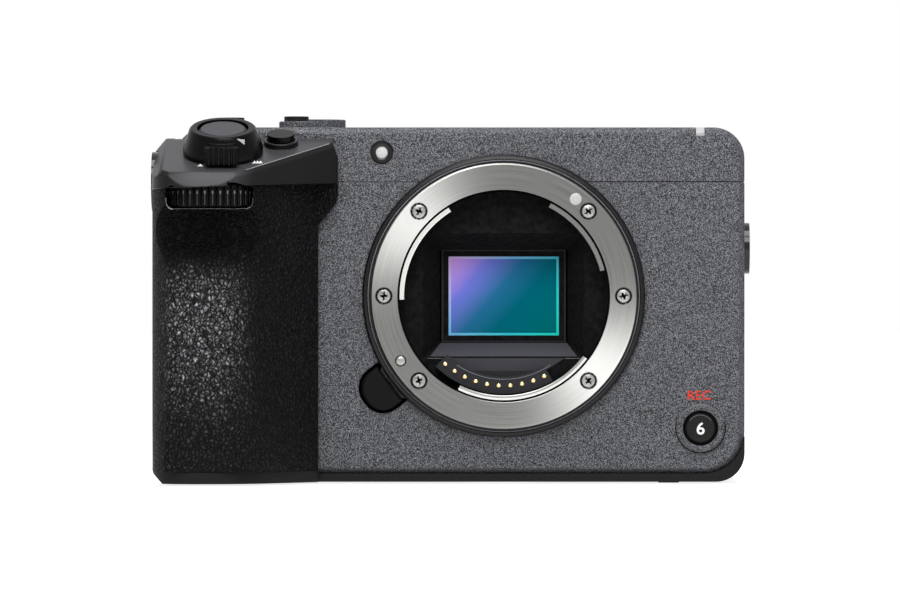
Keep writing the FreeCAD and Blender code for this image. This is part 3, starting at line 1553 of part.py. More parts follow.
card_door = Piece("card_door")
card_knuckle_x = s.body_left + s.flap_knuckle
card_door.pad("side", s.body_left, s.body_left + s.flap_thick, rectangle(
    s.card_front, s.card_low, s.card_back, s.card_top))
card_door.pad("top", s.card_low, s.card_top, Circle(card_knuckle_x, s.card_back, s.flap_knuckle))
card_door.pad("top", s.card_low - s.flap_gap - s.flap_pin_long + s.run_gap,
              s.card_top + s.flap_gap + s.flap_pin_long - s.run_gap,
              flats(card_knuckle_x, s.card_back, s.flap_pin))
chassis.cut("top", s.card_low - s.flap_gap - s.flap_pin_long, s.card_top + s.flap_gap + s.flap_pin_long,
            flats(card_knuckle_x, s.card_back, s.flap_pin + s.run_gap))

# Connector block and its covers

port_knuckle_x = s.body_right - s.flap_knuckle
for name, (low, high) in PORTS.items():
    cover = Piece(name)
    cover.pad("side", s.body_right - s.flap_thick, s.body_right, rectangle(
        s.port_front, low, s.port_back, high))
    cover.pad("top", low, high, Circle(port_knuckle_x, s.port_front, s.flap_knuckle))
    pin_end = s.flap_gap + s.port_pin_end
    cover.pad("top", low - pin_end + s.run_gap, high + pin_end - s.run_gap,
              flats(port_knuckle_x, s.port_front, s.flap_pin))
    chassis.cut("top", low - pin_end, high + pin_end,
                flats(port_knuckle_x, s.port_front, s.flap_pin + s.run_gap))

port_block = Piece("port_block")
port_face = s.body_right - s.cover_wall
port_block.pad("front", s.port_front + s.flap_knuckle, s.port_back - s.seat_gap, rectangle(
    s.port_left, s.port_low, port_face, s.port_audio_top))
port_middle = (s.port_front + s.port_back) * 0.5
SOCKETS = [
    (s.port_low, s.port_usb_top, s.usb_wide, s.usb_tall),
    (s.port_usb_top + s.port_rib, s.port_hdmi_top, s.hdmi_wide, s.hdmi_tall),
]
for low, high, wide, tall in SOCKETS:
    port_block.cut("side", port_face - s.insert_deep, port_face, centred(
        wide, tall, 0, port_middle, (low + high) * 0.5))
audio_middle = (s.port_hdmi_top + s.port_rib + s.port_audio_top) * 0.5
port_block.cut("side", port_face - s.insert_deep, port_face, *[
    Circle(port_middle + side * s.audio_offset, audio_middle, s.audio_radius) for side in (-1, 1)])

# Rear controls

control_wheel = Piece("control_wheel", at=(s.wheel_x, s.body_back, s.wheel_z), facing="back")
control_wheel.turn([
    (s.wheel_bore, -s.wheel_seat + s.run_gap),
    (s.wheel_radius, -s.wheel_seat + s.run_gap),
    (s.wheel_radius, s.wheel_high - s.wheel_seat),
    (s.wheel_bore, s.wheel_high - s.wheel_seat),
])

wheel_button = Piece("wheel_button", at=(s.wheel_x, s.body_back, s.wheel_z), facing="back")
REAR_UNDER = -s.cover_wall - s.seat_gap
wheel_button.turn([
    (0, REAR_UNDER - s.button_flange_high),
    (s.wheel_button + s.button_flange, REAR_UNDER - s.button_flange_high),
    (s.wheel_button + s.button_flange, REAR_UNDER),
    (s.wheel_button, REAR_UNDER),
    (s.wheel_button, s.wheel_high - s.wheel_seat),
    (0, s.wheel_high - s.wheel_seat),
])

for name, (x, z) in REAR_BUTTONS.items():
    button = Piece(name, at=(x, s.body_back, z), facing="back")
    button.turn([
        (0, REAR_UNDER - s.button_flange_high),
        (s.rear_button + s.button_flange, REAR_UNDER - s.button_flange_high),
        (s.rear_button + s.button_flange, REAR_UNDER),
        (s.rear_button, REAR_UNDER),
        (s.rear_button, s.rear_button_high),
        (0, s.rear_button_high),
    ])

joystick_gimbal = Piece("joystick_gimbal", at=(s.stick_x, s.body_back, s.stick_z), facing="back")
joystick_gimbal.pad("top", -s.cover_wall, -s.gimbal_depth, Circle(0, 0, s.gimbal_radius))

joystick = Piece("joystick", at=(s.stick_x, s.body_back, s.stick_z), facing="back")
stick_foot = s.seat_gap - s.gimbal_depth
joystick.turn([
    (0, stick_foot),
    (s.stick_neck, stick_foot),
    (s.stick_neck, s.stick_high - s.stick_cap - s.stick_flare),
    (s.stick_radius, s.stick_high - s.stick_cap),
    (s.stick_radius, s.stick_high),
    (0, s.stick_high),
])

power_switch = Piece("power_switch", at=(s.switch_x + s.switch_throw, s.body_back, s.switch_z), facing="back")
power_switch.pad("top", REAR_UNDER - s.button_flange_high, REAR_UNDER, centred(
    s.switch_slot + 2 * s.switch_throw + s.button_flange, s.switch_tall + 2 * s.button_flange))
power_switch.pad("top", REAR_UNDER, s.switch_high, centred(s.switch_wide, s.switch_tall, s.switch_corner))

# Monitor on its side arm

monitor_front = s.body_back + s.monitor_gap
monitor_back = monitor_front + s.monitor_thick
barrel_z = (s.arm_low + s.arm_top) * 0.5

monitor_arm = Piece("monitor_arm")
monitor_arm.pad("top", s.arm_low, s.arm_top, [
    (s.monitor_right + s.seat_gap, monitor_front),
    (s.arm_axis_x + s.barrel_radius, monitor_front, s.barrel_radius),
    (s.arm_axis_x + s.barrel_radius, monitor_front + s.arm_thick, s.barrel_radius),
    (s.monitor_right + s.seat_gap, monitor_front + s.arm_thick),
])
pin_reach = s.seat_gap + s.arm_pin_long
monitor_arm.pad("top", s.arm_low - pin_reach, s.arm_top + pin_reach, Circle(s.arm_axis_x, arm_axis_y, s.arm_pin))
monitor_arm.pad("side", s.monitor_right - s.barrel_long, s.monitor_right + s.seat_gap,
                Circle(arm_axis_y, barrel_z, s.barrel_radius))

monitor_panel = Piece("monitor_panel")
monitor_panel.pad("front", monitor_front, monitor_back, rectangle(
    s.monitor_left, s.monitor_low, s.monitor_right, s.monitor_top, s.monitor_corner))
monitor_panel.cut("front", monitor_front, monitor_front + s.arm_thick, rectangle(
    s.monitor_right - s.barrel_long - s.seat_gap, barrel_z - s.barrel_radius - s.seat_gap,
    s.monitor_right, barrel_z + s.barrel_radius + s.seat_gap))

monitor_glass = Piece("monitor_glass")
monitor_glass.pad("front", monitor_back, monitor_back + s.screen_thick, rectangle(
    s.monitor_left + s.screen_rim, s.monitor_low + s.screen_rim,
    s.monitor_right - s.screen_rim, s.monitor_top - s.screen_rim, s.screen_corner))

# Check every object and write the pieces

HELPERS = {"grip_core", "grip_outer"}
doc.recompute()
for item in doc.Objects:
    if {"Invalid", "Error"} & set(item.State):
        raise RuntimeError(f"{item.Label} failed: {item.State}")
for item in doc.Objects:
    if item.TypeId in ("PartDesign::Pocket", "PartDesign::SubtractiveWedge"):
        removed = item.BaseFeature.Shape.Volume - item.Shape.Volume
        if removed < 1e-6:
            raise RuntimeError(f"{item.Label} cuts nothing")

os.makedirs("parts", exist_ok=True)
for item in doc.Objects:
    if item.TypeId not in ("PartDesign::Body", "Part::Cut") or item.Label in HELPERS:
        continue
    if item.Shape.isNull() or not item.Shape.isValid():
        raise RuntimeError(f"{item.Label} has no valid shape")
    item.Shape.exportStep(f"parts/{item.Label}.step")
    print(f"{item.Label}: {len(item.Shape.Solids)} solid(s), {item.Shape.Volume:.1f} mm3")
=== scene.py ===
import json
from math import cos, pi, radians, sin, tan

import bmesh
import bpy
from mathutils import Matrix, Vector
from mathutils.bvhtree import BVHTree


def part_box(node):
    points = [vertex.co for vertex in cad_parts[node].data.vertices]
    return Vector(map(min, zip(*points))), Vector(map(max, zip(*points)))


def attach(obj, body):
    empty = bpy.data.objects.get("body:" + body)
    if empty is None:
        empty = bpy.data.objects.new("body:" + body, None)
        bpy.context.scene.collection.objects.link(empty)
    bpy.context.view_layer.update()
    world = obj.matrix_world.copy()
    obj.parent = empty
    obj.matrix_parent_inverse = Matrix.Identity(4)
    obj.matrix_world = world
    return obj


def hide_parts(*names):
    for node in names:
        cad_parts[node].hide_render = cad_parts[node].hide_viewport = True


# A compact box-shaped cinema camera without a lens.
# Lengths are given in millimetres and made metres when a piece is finished.

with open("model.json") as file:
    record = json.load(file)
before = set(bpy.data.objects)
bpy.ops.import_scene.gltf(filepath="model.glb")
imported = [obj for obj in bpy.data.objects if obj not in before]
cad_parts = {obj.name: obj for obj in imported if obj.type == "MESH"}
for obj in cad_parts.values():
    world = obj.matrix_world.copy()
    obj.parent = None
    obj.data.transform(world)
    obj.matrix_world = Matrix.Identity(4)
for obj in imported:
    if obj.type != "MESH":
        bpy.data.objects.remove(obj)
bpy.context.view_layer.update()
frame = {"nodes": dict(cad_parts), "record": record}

MM = 0.001
MOUNT_HEIGHT = 40.7
BODY_FRONT = 21.0
BODY_BACK = 31.5
DECK_TILT = 20
DECK_BACK = 75.0
SENSOR_WIDE = 24.2
SENSOR_TALL = 17.3
SHARP_EDGE = 32
PRINT_THICK = 0.04
LETTER_THICK = 0.03


def turned_to(axis, degrees):
    return Matrix.Rotation(radians(degrees), 4, axis)


def shifted(x, y, z=0.0):
    return Matrix.Translation((x, y, z))


def polar(radius, degrees, height=0.0):
    return shifted(radius * cos(radians(degrees)), radius * sin(radians(degrees)), height)


def on_deck(x, y):
    """The place on the sloping deck of the grip over a point, its Z square to the deck."""
    height = DECK_BACK + (y + BODY_FRONT) * tan(radians(DECK_TILT))
    return shifted(x, y, height) @ turned_to("X", DECK_TILT)


FACING_BACK = Matrix.Rotation(pi, 4, Vector((0, 1, 1)))
UPRIGHT = Matrix.Identity(4)


def on_front(x, z, depth=BODY_FRONT):
    """The place on a front surface, its Z towards the viewer."""
    return shifted(x, -depth, z) @ turned_to("X", 90)


MOUNT = on_front(0, MOUNT_HEIGHT, 0)


def on_back(x, z, depth=BODY_BACK):
    """The place on a rear surface, its Z out of the back and its X to the left of the front view."""
    return shifted(x, depth, z) @ FACING_BACK


# Finishes


def paint(red, green, blue):
    """A colour as it looks, 0 to 255, as the amount of light it sends back."""
    parts = []
    for value in (red, green, blue):
        share = value / 255
        parts.append(share / 12.92 if share <= 0.04045 else ((share + 0.055) / 1.055) ** 2.4)
    return (*parts, 1.0)


class Finish:
    """A material and the nodes that it is being made from."""

    def __init__(self, name, colour, roughness=0.5, metallic=0.0, **sockets):
        self.material = bpy.data.materials.new(name)
        self.material.use_nodes = True
        self.tree = self.material.node_tree
        self.shader = self.tree.nodes["Principled BSDF"]
        self.material.diffuse_color = colour
        self.shader.inputs["Base Color"].default_value = colour
        self.shader.inputs["Roughness"].default_value = roughness
        self.shader.inputs["Metallic"].default_value = metallic
        for socket, value in sockets.items():
            self.shader.inputs[socket.replace("_", " ")].default_value = value
        where = self.add("ShaderNodeTexCoord").outputs
        self.place = where["Object"]
        self.normal = where["Normal"]

    def add(self, kind, settings=None, **inputs):
        """A node with its settings, its plain values and its links."""
        node = self.tree.nodes.new(kind)
        for name, value in (settings or {}).items():
            setattr(node, name, value)
        for name, value in inputs.items():
            socket = node.inputs[int(name[1:])] if name[0] == "i" and name[1:].isdigit() else node.inputs[name]
            if isinstance(value, bpy.types.NodeSocket):
                self.tree.links.new(value, socket)
            else:
                socket.default_value = value
        return node

    def maths(self, operation, *values):
        """One sum on numbers or outputs."""
        inputs = {f"i{i}": value for i, value in enumerate(values)}
        return self.add("ShaderNodeMath", {"operation": operation}, **inputs).outputs[0]

    def ramp(self, amount, stops):
        """Colours along an amount from 0 to 1."""
        node = self.add("ShaderNodeValToRGB", Fac=amount)
        elements = node.color_ramp.elements
        while len(elements) < len(stops):
            elements.new(0.5)
        for element, (position, colour) in zip(elements, stops):
            element.position = position
            element.color = colour
        return node.outputs["Color"]

    def mixed(self, share, first, second):
        """Two colours, the second where the share is 1."""
        return self.add("ShaderNodeMix", {"data_type": "RGBA"}, Factor=share, i6=first, i7=second).outputs[2]

    def noise(self, scale, detail=2.0, vector=None, rough=0.5):
        where = self.place if vector is None else vector
        return self.add("ShaderNodeTexNoise", Vector=where, Scale=scale, Detail=detail,
                        Roughness=rough).outputs["Fac"]

    def between(self, value, start, end, floor=0.0, unit=MM):
        """A soft step from the floor at one value to 1 at another, given in millimetres."""
        step = self.add("ShaderNodeMapRange", {"interpolation_type": "SMOOTHSTEP"}, Value=value)
        step.inputs["From Min"].default_value = start * unit
        step.inputs["From Max"].default_value = end * unit
        step.inputs["To Min"].default_value = floor
        return step.outputs[0]

    def link(self, output, socket):
        """Let an output drive a socket of the shader."""
        self.tree.links.new(output, self.shader.inputs[socket])

    def relief(self, height, depth, strength=1.0):
        """Fine relief on the surface, its depth in millimetres."""
        bump = self.add("ShaderNodeBump", Height=height, Distance=depth * MM, Strength=strength)
        self.link(bump.outputs["Normal"], "Normal")

    def parted(self):
        """The three coordinates of the surface point, in metres."""
        return self.add("ShaderNodeSeparateXYZ", Vector=self.place).outputs


def speckled(name, middle, spread, roughness=0.62):
    """Matte paint full of fine light and dark grains."""
    finish = Finish(name, paint(middle, middle + 1, middle + 5), roughness, 0.0, Specular_IOR_Level=0.22)
    grain = finish.noise(6600, 1.0, rough=0.4)
    coarse = finish.noise(2600, 1.0, rough=0.4)
    mixed = finish.maths("ADD", finish.maths("MULTIPLY", grain, 0.86), finish.maths("MULTIPLY", coarse, 0.14))
    low, high = middle - spread, middle + spread
    colour = finish.ramp(mixed, [
        (0.38, paint(low, low + 1, low + 4)),
        (0.5, paint(middle - 3, middle - 2, middle + 2)),
        (0.63, paint(high, high + 1, high + 6)),
    ])
    finish.link(colour, "Base Color")
    finish.relief(mixed, 0.04, 0.5)
    return finish.material


def grained(name, level, roughness, scale, depth, specular=0.12, tint=0):
    """Moulded black plastic with a fine even grain."""
    finish = Finish(name, paint(level, level, level + tint), roughness, 0.0, Specular_IOR_Level=specular)
    grain = finish.noise(scale, 2.0)
    finish.link(finish.ramp(grain, [
        (0.3, paint(level * 0.75, level * 0.75, level * 0.75 + tint)),
        (0.7, paint(level * 1.3, level * 1.3, level * 1.3 + tint)),
    ]), "Base Color")
    finish.relief(grain, depth, 0.5)
    return finish.material


def deck_plastic(name, flank, deck):
    """Fine-grained plastic with painted light: paler where it faces up, as if lit from above, with a painted
    highlight on the brow over the dial.
    """
    finish = Finish(name, paint(deck, deck, deck + 2), 0.36, 0.0, Specular_IOR_Level=0.13)
    facing = finish.add("ShaderNodeSeparateXYZ", Vector=finish.normal).outputs[2]
    grain = finish.noise(3600, 2.0)
    # The brow over the dial gets a painted highlight, as pale as what faces up
    x, _, z = finish.parted()
    brow_highlight = finish.maths("MULTIPLY", finish.between(x, -73.0, -65.5), finish.between(x, -52.5, -60.0))
    brow_highlight = finish.maths("MULTIPLY", brow_highlight, finish.between(z, 61.5, 66.5))
    # Painted light and painted highlight: the colour turns paler where the surface faces up and on the brow
    painted_lighting = finish.maths("MAXIMUM", finish.between(facing, 0.66, 0.94, unit=1), brow_highlight)
    uneven = finish.maths("ADD", painted_lighting, finish.maths("MULTIPLY", finish.maths("SUBTRACT", grain, 0.5), 0.3))
    finish.link(finish.ramp(uneven, [
        (0.02, paint(flank, flank, flank + 1)),
        (1.0, paint(deck, deck, deck + 3)),
    ]), "Base Color")
    finish.relief(grain, 0.02, 0.5)
    return finish.material


def leather_rubber(name):
    """Rubber moulded like leather: small pebbles parted by creases painted dark as shade, painted shade in the
    hollow under the dial, and a painted sheen of pale pebble tips on the palm.
    """
    finish = Finish(name, paint(14, 14, 15), 0.5, 0.0, Specular_IOR_Level=0.07)
    wander = finish.add("ShaderNodeTexNoise", Vector=finish.place, Scale=520.0, Detail=2.0)
    shift = finish.add("ShaderNodeVectorMath", {"operation": "MULTIPLY_ADD"},
                       i0=wander.outputs["Color"], i1=(0.0016, 0.0016, 0.0016), i2=finish.place)
    shift = finish.add("ShaderNodeVectorMath", {"operation": "MULTIPLY"},
                       i0=shift.outputs[0], i1=(1.15, 1.15, 0.9))
    pebbles = finish.add("ShaderNodeTexVoronoi", {"feature": "DISTANCE_TO_EDGE"}, Vector=shift.outputs[0],
                         Scale=1050.0, Randomness=1.0).outputs["Distance"]
    domes = finish.maths("MINIMUM", finish.maths("MULTIPLY", pebbles, 2.5), 1.0)
    wrinkles = finish.noise(2300, 2.0, vector=shift.outputs[0])
    height = finish.maths("ADD", finish.maths("MULTIPLY", domes, 0.72), finish.maths("MULTIPLY", wrinkles, 0.4))
    x, _, z = finish.parted()
    # The palm's painted sheen, a patch of pale pebble tips which fades to all four sides and is broken up in
    # blots
    palm = finish.maths("MULTIPLY", finish.between(z, 50.0, 39.0), finish.between(x, -52.5, -62.0))
    palm = finish.maths("MULTIPLY", palm, finish.between(z, 8.0, 34.0, 0.06))
    palm = finish.maths("MULTIPLY", palm, finish.between(x, -75.5, -68.0))
    patchy = finish.between(finish.noise(620, 3.0, rough=0.75), 0.34, 0.62, 0.15, unit=1)
    broken = finish.between(finish.noise(1650, 3.0, vector=shift.outputs[0], rough=0.6), 0.4, 0.6, 0.12, unit=1)
    painted_sheen = finish.maths("MULTIPLY", finish.maths("MULTIPLY", patchy, broken), palm)
    # Painted shade darkening the hollow under the dial
    hollow_shade = finish.maths("MULTIPLY", finish.between(z, 44.0, 51.0), finish.between(x, -47.0, -56.0))
    hollow_shade = finish.maths("MULTIPLY", hollow_shade, finish.between(x, -74.5, -71.5))
    painted_lighting = finish.maths("SUBTRACT", 1.0, finish.maths("MULTIPLY", hollow_shade, 0.9))
    # Painted shade: the ramp paints the creases between the pebbles darker, and the hollow under the dial
    # darker still
    skin = finish.ramp(finish.maths("MULTIPLY", height, painted_lighting), [
        (0.12, paint(1, 1, 1)),
        (0.3, paint(4, 4, 5)),
        (0.95, paint(30, 30, 33)),
    ])
    # Painted sheen: pale pebble tips mixed into the colour over the palm
    tips = finish.maths("MULTIPLY", painted_sheen, finish.maths("POWER", domes, 1.3))
    finish.link(finish.mixed(tips, skin, paint(206, 206, 210)), "Base Color")
    finish.link(finish.maths("SUBTRACT", 0.48, finish.maths("MULTIPLY", palm, 0.16)), "Roughness")
    finish.relief(height, 0.6, 1.0)
    return finish.material


def turned_steel(name, dark, light, roughness=0.3, fan_angle=142):
    """Steel turned on a lathe: rings round the mount's axis, and two bright fans across them painted into its
    colour as a painted reflection.
    """
    finish = Finish(name, paint(light, light, light - 2), roughness, 1.0)
    x, _, z = finish.parted()
    up = finish.maths("SUBTRACT", z, MOUNT_HEIGHT * MM)
    angle = finish.maths("ARCTAN2", up, x)
    radius = finish.maths("SQRT", finish.maths(
        "ADD", finish.maths("MULTIPLY", x, x), finish.maths("MULTIPLY", up, up)))
    around = finish.add("ShaderNodeCombineXYZ", X=finish.maths("MULTIPLY", radius, 9000.0),
                        Y=finish.maths("MULTIPLY", angle, 1.6))
    rings = finish.add("ShaderNodeTexNoise", Vector=around.outputs[0], Scale=1.0, Detail=3.0).outputs["Fac"]
    # Painted reflection: two bright fans at opposite angles painted into the colour
    wave = finish.maths("COSINE", finish.maths("SUBTRACT", angle, radians(fan_angle)))
    fan = finish.maths("POWER", finish.maths("ABSOLUTE", wave), 9.0)
    share = finish.maths("ADD", finish.maths("MULTIPLY", fan, 0.66), finish.maths(
        "ADD", finish.maths("MULTIPLY", rings, 0.26), 0.07))
    finish.link(finish.ramp(share, [
        (0.1, paint(dark, dark, dark - 2)),
        (0.9, paint(light, light, light - 3)),
    ]), "Base Color")
    finish.relief(rings, 0.004, 0.35)
    return finish.material


def plain_metal(name, colour, roughness, scale=2600.0):
    """Metal with a faint uneven polish."""
    finish = Finish(name, colour, roughness, 1.0)
    cloud = finish.noise(scale, 2.0)
    finish.link(finish.maths("ADD", finish.maths("MULTIPLY", cloud, 0.18), roughness - 0.09), "Roughness")
    finish.relief(cloud, 0.004, 0.3)
    return finish.material


def smooth_plastic(name, level, roughness, specular=0.4, tint=0):
    """Smooth moulded plastic with a faint orange-peel skin."""
    finish = Finish(name, paint(level, level, level + tint), roughness, 0.0, Specular_IOR_Level=specular)
    skin = finish.noise(900, 2.0)
    finish.link(finish.maths("ADD", finish.maths("MULTIPLY", skin, 0.12), roughness - 0.06), "Roughness")
    finish.relief(skin, 0.006, 0.3)
    return finish.material


def coated_sensor(name):
    """The coated image sensor, its reflection painted into the colour: violet in one corner, turning to teal,
    with lighter edges as a painted highlight.
    """
    finish = Finish(name, paint(32, 94, 125), 0.2, 0.0, Specular_IOR_Level=0.0)
    x, _, z = finish.parted()
    level = finish.maths("SUBTRACT", z, MOUNT_HEIGHT * MM)
    across = finish.maths("ADD", finish.maths("DIVIDE", x, SENSOR_WIDE * MM), 0.5)
    up = finish.maths("ADD", finish.maths("DIVIDE", level, SENSOR_TALL * MM), 0.5)
    # Painted reflection of the coating, from violet to teal across the sensor
    sweep = finish.maths("ADD", finish.maths("MULTIPLY", across, 0.62), finish.maths(
        "MULTIPLY", finish.maths("SUBTRACT", 1.0, up), 0.38))
    body = finish.ramp(sweep, [
        (0.03, paint(226, 168, 255)),
        (0.24, paint(118, 126, 226)),
        (0.44, paint(38, 110, 154)),
        (0.62, paint(2, 102, 120)),
        (0.95, paint(0, 112, 116)),
    ])
    rim = finish.ramp(sweep, [
        (0.0, paint(232, 196, 255)),
        (0.35, paint(130, 196, 245)),
        (0.7, paint(60, 206, 220)),
        (1.0, paint(40, 226, 206)),
    ])
    rim_wide = 0.55
    # Painted highlight along the sensor's edges
    edge = finish.maths(
        "MAXIMUM",
        finish.maths("GREATER_THAN", finish.maths("ABSOLUTE", x), (SENSOR_WIDE / 2 - rim_wide) * MM),
        finish.maths("GREATER_THAN", finish.maths("ABSOLUTE", level), (SENSOR_TALL / 2 - rim_wide) * MM))
    finish.link(finish.mixed(edge, body, rim), "Base Color")
    return finish.material


BODY_PAINT = speckled("speckled_body_paint", 63, 63)
BASE_BLACK = grained("base_black", 20, 0.55, 3200, 0.02, 0.12)
TRIM_BLACK = grained("trim_black", 20, 0.5, 3000, 0.012, 0.14)
WELL_BLACK = grained("well_black", 6, 0.8, 2600, 0.01, 0.03)
LEATHER = leather_rubber("leather_grain_rubber")
DECK_BLACK = deck_plastic("deck_satin_black", 13, 54)
SHADE_BLACK = grained("shade_black", 10, 0.5, 3000, 0.012, 0.08)
GLOSS_BLACK = smooth_plastic("gloss_black", 9, 0.12, 0.32)
SATIN_BLACK = smooth_plastic("satin_black", 3, 0.28, 0.08)
RING_BLACK = smooth_plastic("ring_black", 11, 0.28, 0.22)
BUTTON_GREY = smooth_plastic("button_grey", 52, 0.42, 0.14, 5)
CHAMBER = grained("chamber_black", 22, 0.85, 900, 0.004, 0.02)
CHAMBER_GREY = smooth_plastic("chamber_grey", 46, 0.6, 0.04, 3)
STEP_GREY = smooth_plastic("step_grey", 62, 0.6, 0.04, 4)
# Edge grey and lip grey are painted highlights along edges, rims and lips
EDGE_GREY = smooth_plastic("edge_grey", 104, 0.5, 0.1, 4)
LIP_GREY = smooth_plastic("lip_grey", 128, 0.3, 0.3, 3)
# Slope grey is painted light: a lit copy of the chamber's black for its slope, which faces up
SLOPE_GREY = smooth_plastic("slope_grey", 72, 0.6, 0.04, 5)
STEEL = turned_steel("turned_steel", 82, 218)
# Edge steel and dim steel are lit and shaded copies of steel for the claws, painted light and painted shade
EDGE_STEEL = plain_metal("edge_steel", paint(214, 214, 210), 0.25)
DIM_STEEL = plain_metal("dim_steel", paint(112, 112, 110), 0.4)
SCREW_STEEL = plain_metal("screw_steel", paint(148, 148, 145), 0.34)
SOCKET_STEEL = plain_metal("socket_steel", paint(150, 150, 150), 0.35)
SHOE_STEEL = plain_metal("shoe_steel", paint(120, 120, 122), 0.32)
GOLD = plain_metal("contact_gold", paint(222, 196, 146), 0.26)
ALUMINIUM = plain_metal("bare_aluminium", paint(190, 191, 194), 0.4)
SENSOR = coated_sensor("sensor_coating")
BOARD = grained("board_green", 60, 0.4, 1800, 0.01, 0.5)
BATTERY_GREY = grained("battery_grey", 70, 0.55, 2600, 0.02, 0.3)
WHITE_PRINT = smooth_plastic("white_print", 232, 0.5, 0.3)
GREY_PRINT = smooth_plastic("grey_print", 168, 0.5, 0.3)
LAMP_GREY = smooth_plastic("lamp_grey", 158, 0.3, 0.4, 2)
RED_PRINT = Finish("red_print", paint(202, 52, 32), 0.5, 0.0, Specular_IOR_Level=0.2).material
REC_RED = smooth_plastic("rec_satin", 40, 0.4, 0.2, 2)
SCREEN = smooth_plastic("screen_glass", 8, 0.05, 0.4, 2)
SCREEN_DARK = smooth_plastic("screen_picture", 3, 0.04, 0.4, 1)
DOT_GREY = smooth_plastic("index_grey", 176, 0.35, 0.3)
SENSOR_WHITE = smooth_plastic("diffuser_white", 186, 0.4, 0.3)

NODE_FINISHES = {
    "front_cover": BODY_PAINT, "top_cover": BODY_PAINT, "chassis": BODY_PAINT, "rear_cover": BODY_PAINT,
    "bottom_cover": BASE_BLACK, "feet": TRIM_BLACK, "tripod_boss": SOCKET_STEEL, "thread_inserts": GLOSS_BLACK,
    "mount_base_ring": RING_BLACK, "mount_flange": STEEL, "mount_screws": SCREW_STEEL, "lock_pin": SCREW_STEEL,
    "lens_release_button": SHADE_BLACK, "light_box": CHAMBER, "contact_block": CHAMBER_GREY,
    "contact_pins": GOLD, "sensor_window": SENSOR, "sensor_carrier": CHAMBER, "stabiliser_frame": ALUMINIUM,
    "cooling_block": ALUMINIUM, "fan_rotor": TRIM_BLACK, "main_board": BOARD, "grip_shell": TRIM_BLACK,
    "grip_skin": LEATHER, "grip_top": DECK_BLACK, "zoom_lever": SATIN_BLACK, "shutter_button": BUTTON_GREY,
    "grip_button": SATIN_BLACK, "front_dial": SATIN_BLACK, "rear_dial": SATIN_BLACK,
    "button_one": TRIM_BLACK, "button_two": TRIM_BLACK, "button_three": TRIM_BLACK, "rec_button": REC_RED,
    "hot_shoe": SHOE_STEEL, "button_six": TRIM_BLACK, "tally_lamp": LAMP_GREY, "light_sensor": GLOSS_BLACK,
    "battery": BATTERY_GREY, "battery_door": BASE_BLACK, "battery_door_latch": TRIM_BLACK,
    "card_slots": CHAMBER, "card_door": BODY_PAINT, "port_cover_usb": TRIM_BLACK,
    "port_cover_hdmi": TRIM_BLACK, "port_cover_audio": TRIM_BLACK, "port_block": CHAMBER,
    "control_wheel": SATIN_BLACK, "wheel_button": BUTTON_GREY, "fn_button": TRIM_BLACK,
    "menu_button": TRIM_BLACK, "play_button": TRIM_BLACK, "delete_button": TRIM_BLACK,
    "joystick_gimbal": TRIM_BLACK, "joystick": TRIM_BLACK, "power_switch": SATIN_BLACK,
    "monitor_arm": TRIM_BLACK, "monitor_panel": TRIM_BLACK, "monitor_glass": SCREEN,
}
node_body = {node: body for body, nodes in frame["record"]["behaviour"]["bodies"].items() for node in nodes}
for node, finish in NODE_FINISHES.items():
    mesh = frame["nodes"][node].data
    mesh.materials.clear()
    mesh.materials.append(finish)


# Shapes


def finish_piece(name, form, material, body, at=UPRIGHT, stands_for=(), round_off=0.0,
                 sharp=SHARP_EDGE, metres=False):
    """Put a form in its place, as one named piece that rides on a body."""
    if not metres:
        bmesh.ops.transform(form, matrix=Matrix.Scale(MM, 4) @ at, verts=form.verts)
    for face in form.faces:
        face.smooth = True
    for edge in form.edges:
        if len(edge.link_faces) == 2 and edge.calc_face_angle(0.0) > radians(sharp):
            edge.smooth = False
    mesh = bpy.data.meshes.new(name)
    form.to_mesh(mesh)
    form.free()
    mesh.materials.append(material)
    piece = bpy.data.objects.new(name, mesh)
    bpy.context.scene.collection.objects.link(piece)
    if round_off:
        edges = piece.modifiers.new("rounded_edges", "BEVEL")
        edges.width = round_off * MM
        edges.segments = 2
        edges.limit_method = "ANGLE"
        edges.angle_limit = radians(sharp)
        edges.use_clamp_overlap = False
        edges.harden_normals = False
    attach(piece, body)
    if stands_for:
        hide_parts(*stands_for)
    return piece


def softened(node, width, sharp):
    """A CAD piece with its edges rounded, shown in its place."""
    form = bmesh.new()
    form.from_mesh(frame["nodes"][node].data)
    bmesh.ops.remove_doubles(form, verts=form.verts, dist=1e-6)
    bmesh.ops.dissolve_limit(form, angle_limit=radians(0.6), verts=form.verts, edges=form.edges)
    return finish_piece(f"{node}_dressed", form, NODE_FINISHES[node], node_body[node],
                        stands_for=[node], round_off=width, sharp=sharp, metres=True)


def lathe(profile, steps=64, sweep=360.0, start=0.0):
    """A form turned round Z from a profile of radius and height."""
    form = bmesh.new()
    marks = [form.verts.new((radius, 0, height)) for radius, height in profile]
    for first, second in zip(marks, marks[1:]):
        form.edges.new((first, second))
    if sweep < 360:
        form.edges.new((marks[-1], marks[0]))
    if start:
        bmesh.ops.rotate(form, cent=(0, 0, 0), matrix=Matrix.Rotation(radians(start), 3, "Z"), verts=form.verts)
    closed = sweep >= 360
    bmesh.ops.spin(form, geom=form.verts[:] + form.edges[:], cent=(0, 0, 0), axis=(0, 0, 1),
                   dvec=(0, 0, 0), angle=radians(sweep), steps=steps, use_merge=closed)
    bmesh.ops.remove_doubles(form, verts=form.verts, dist=1e-5)
    bmesh.ops.dissolve_degenerate(form, dist=1e-6, edges=form.edges)
    if not closed:
        bmesh.ops.holes_fill(form, edges=form.edges, sides=0)
    bmesh.ops.recalc_face_normals(form, faces=form.faces)
    return form


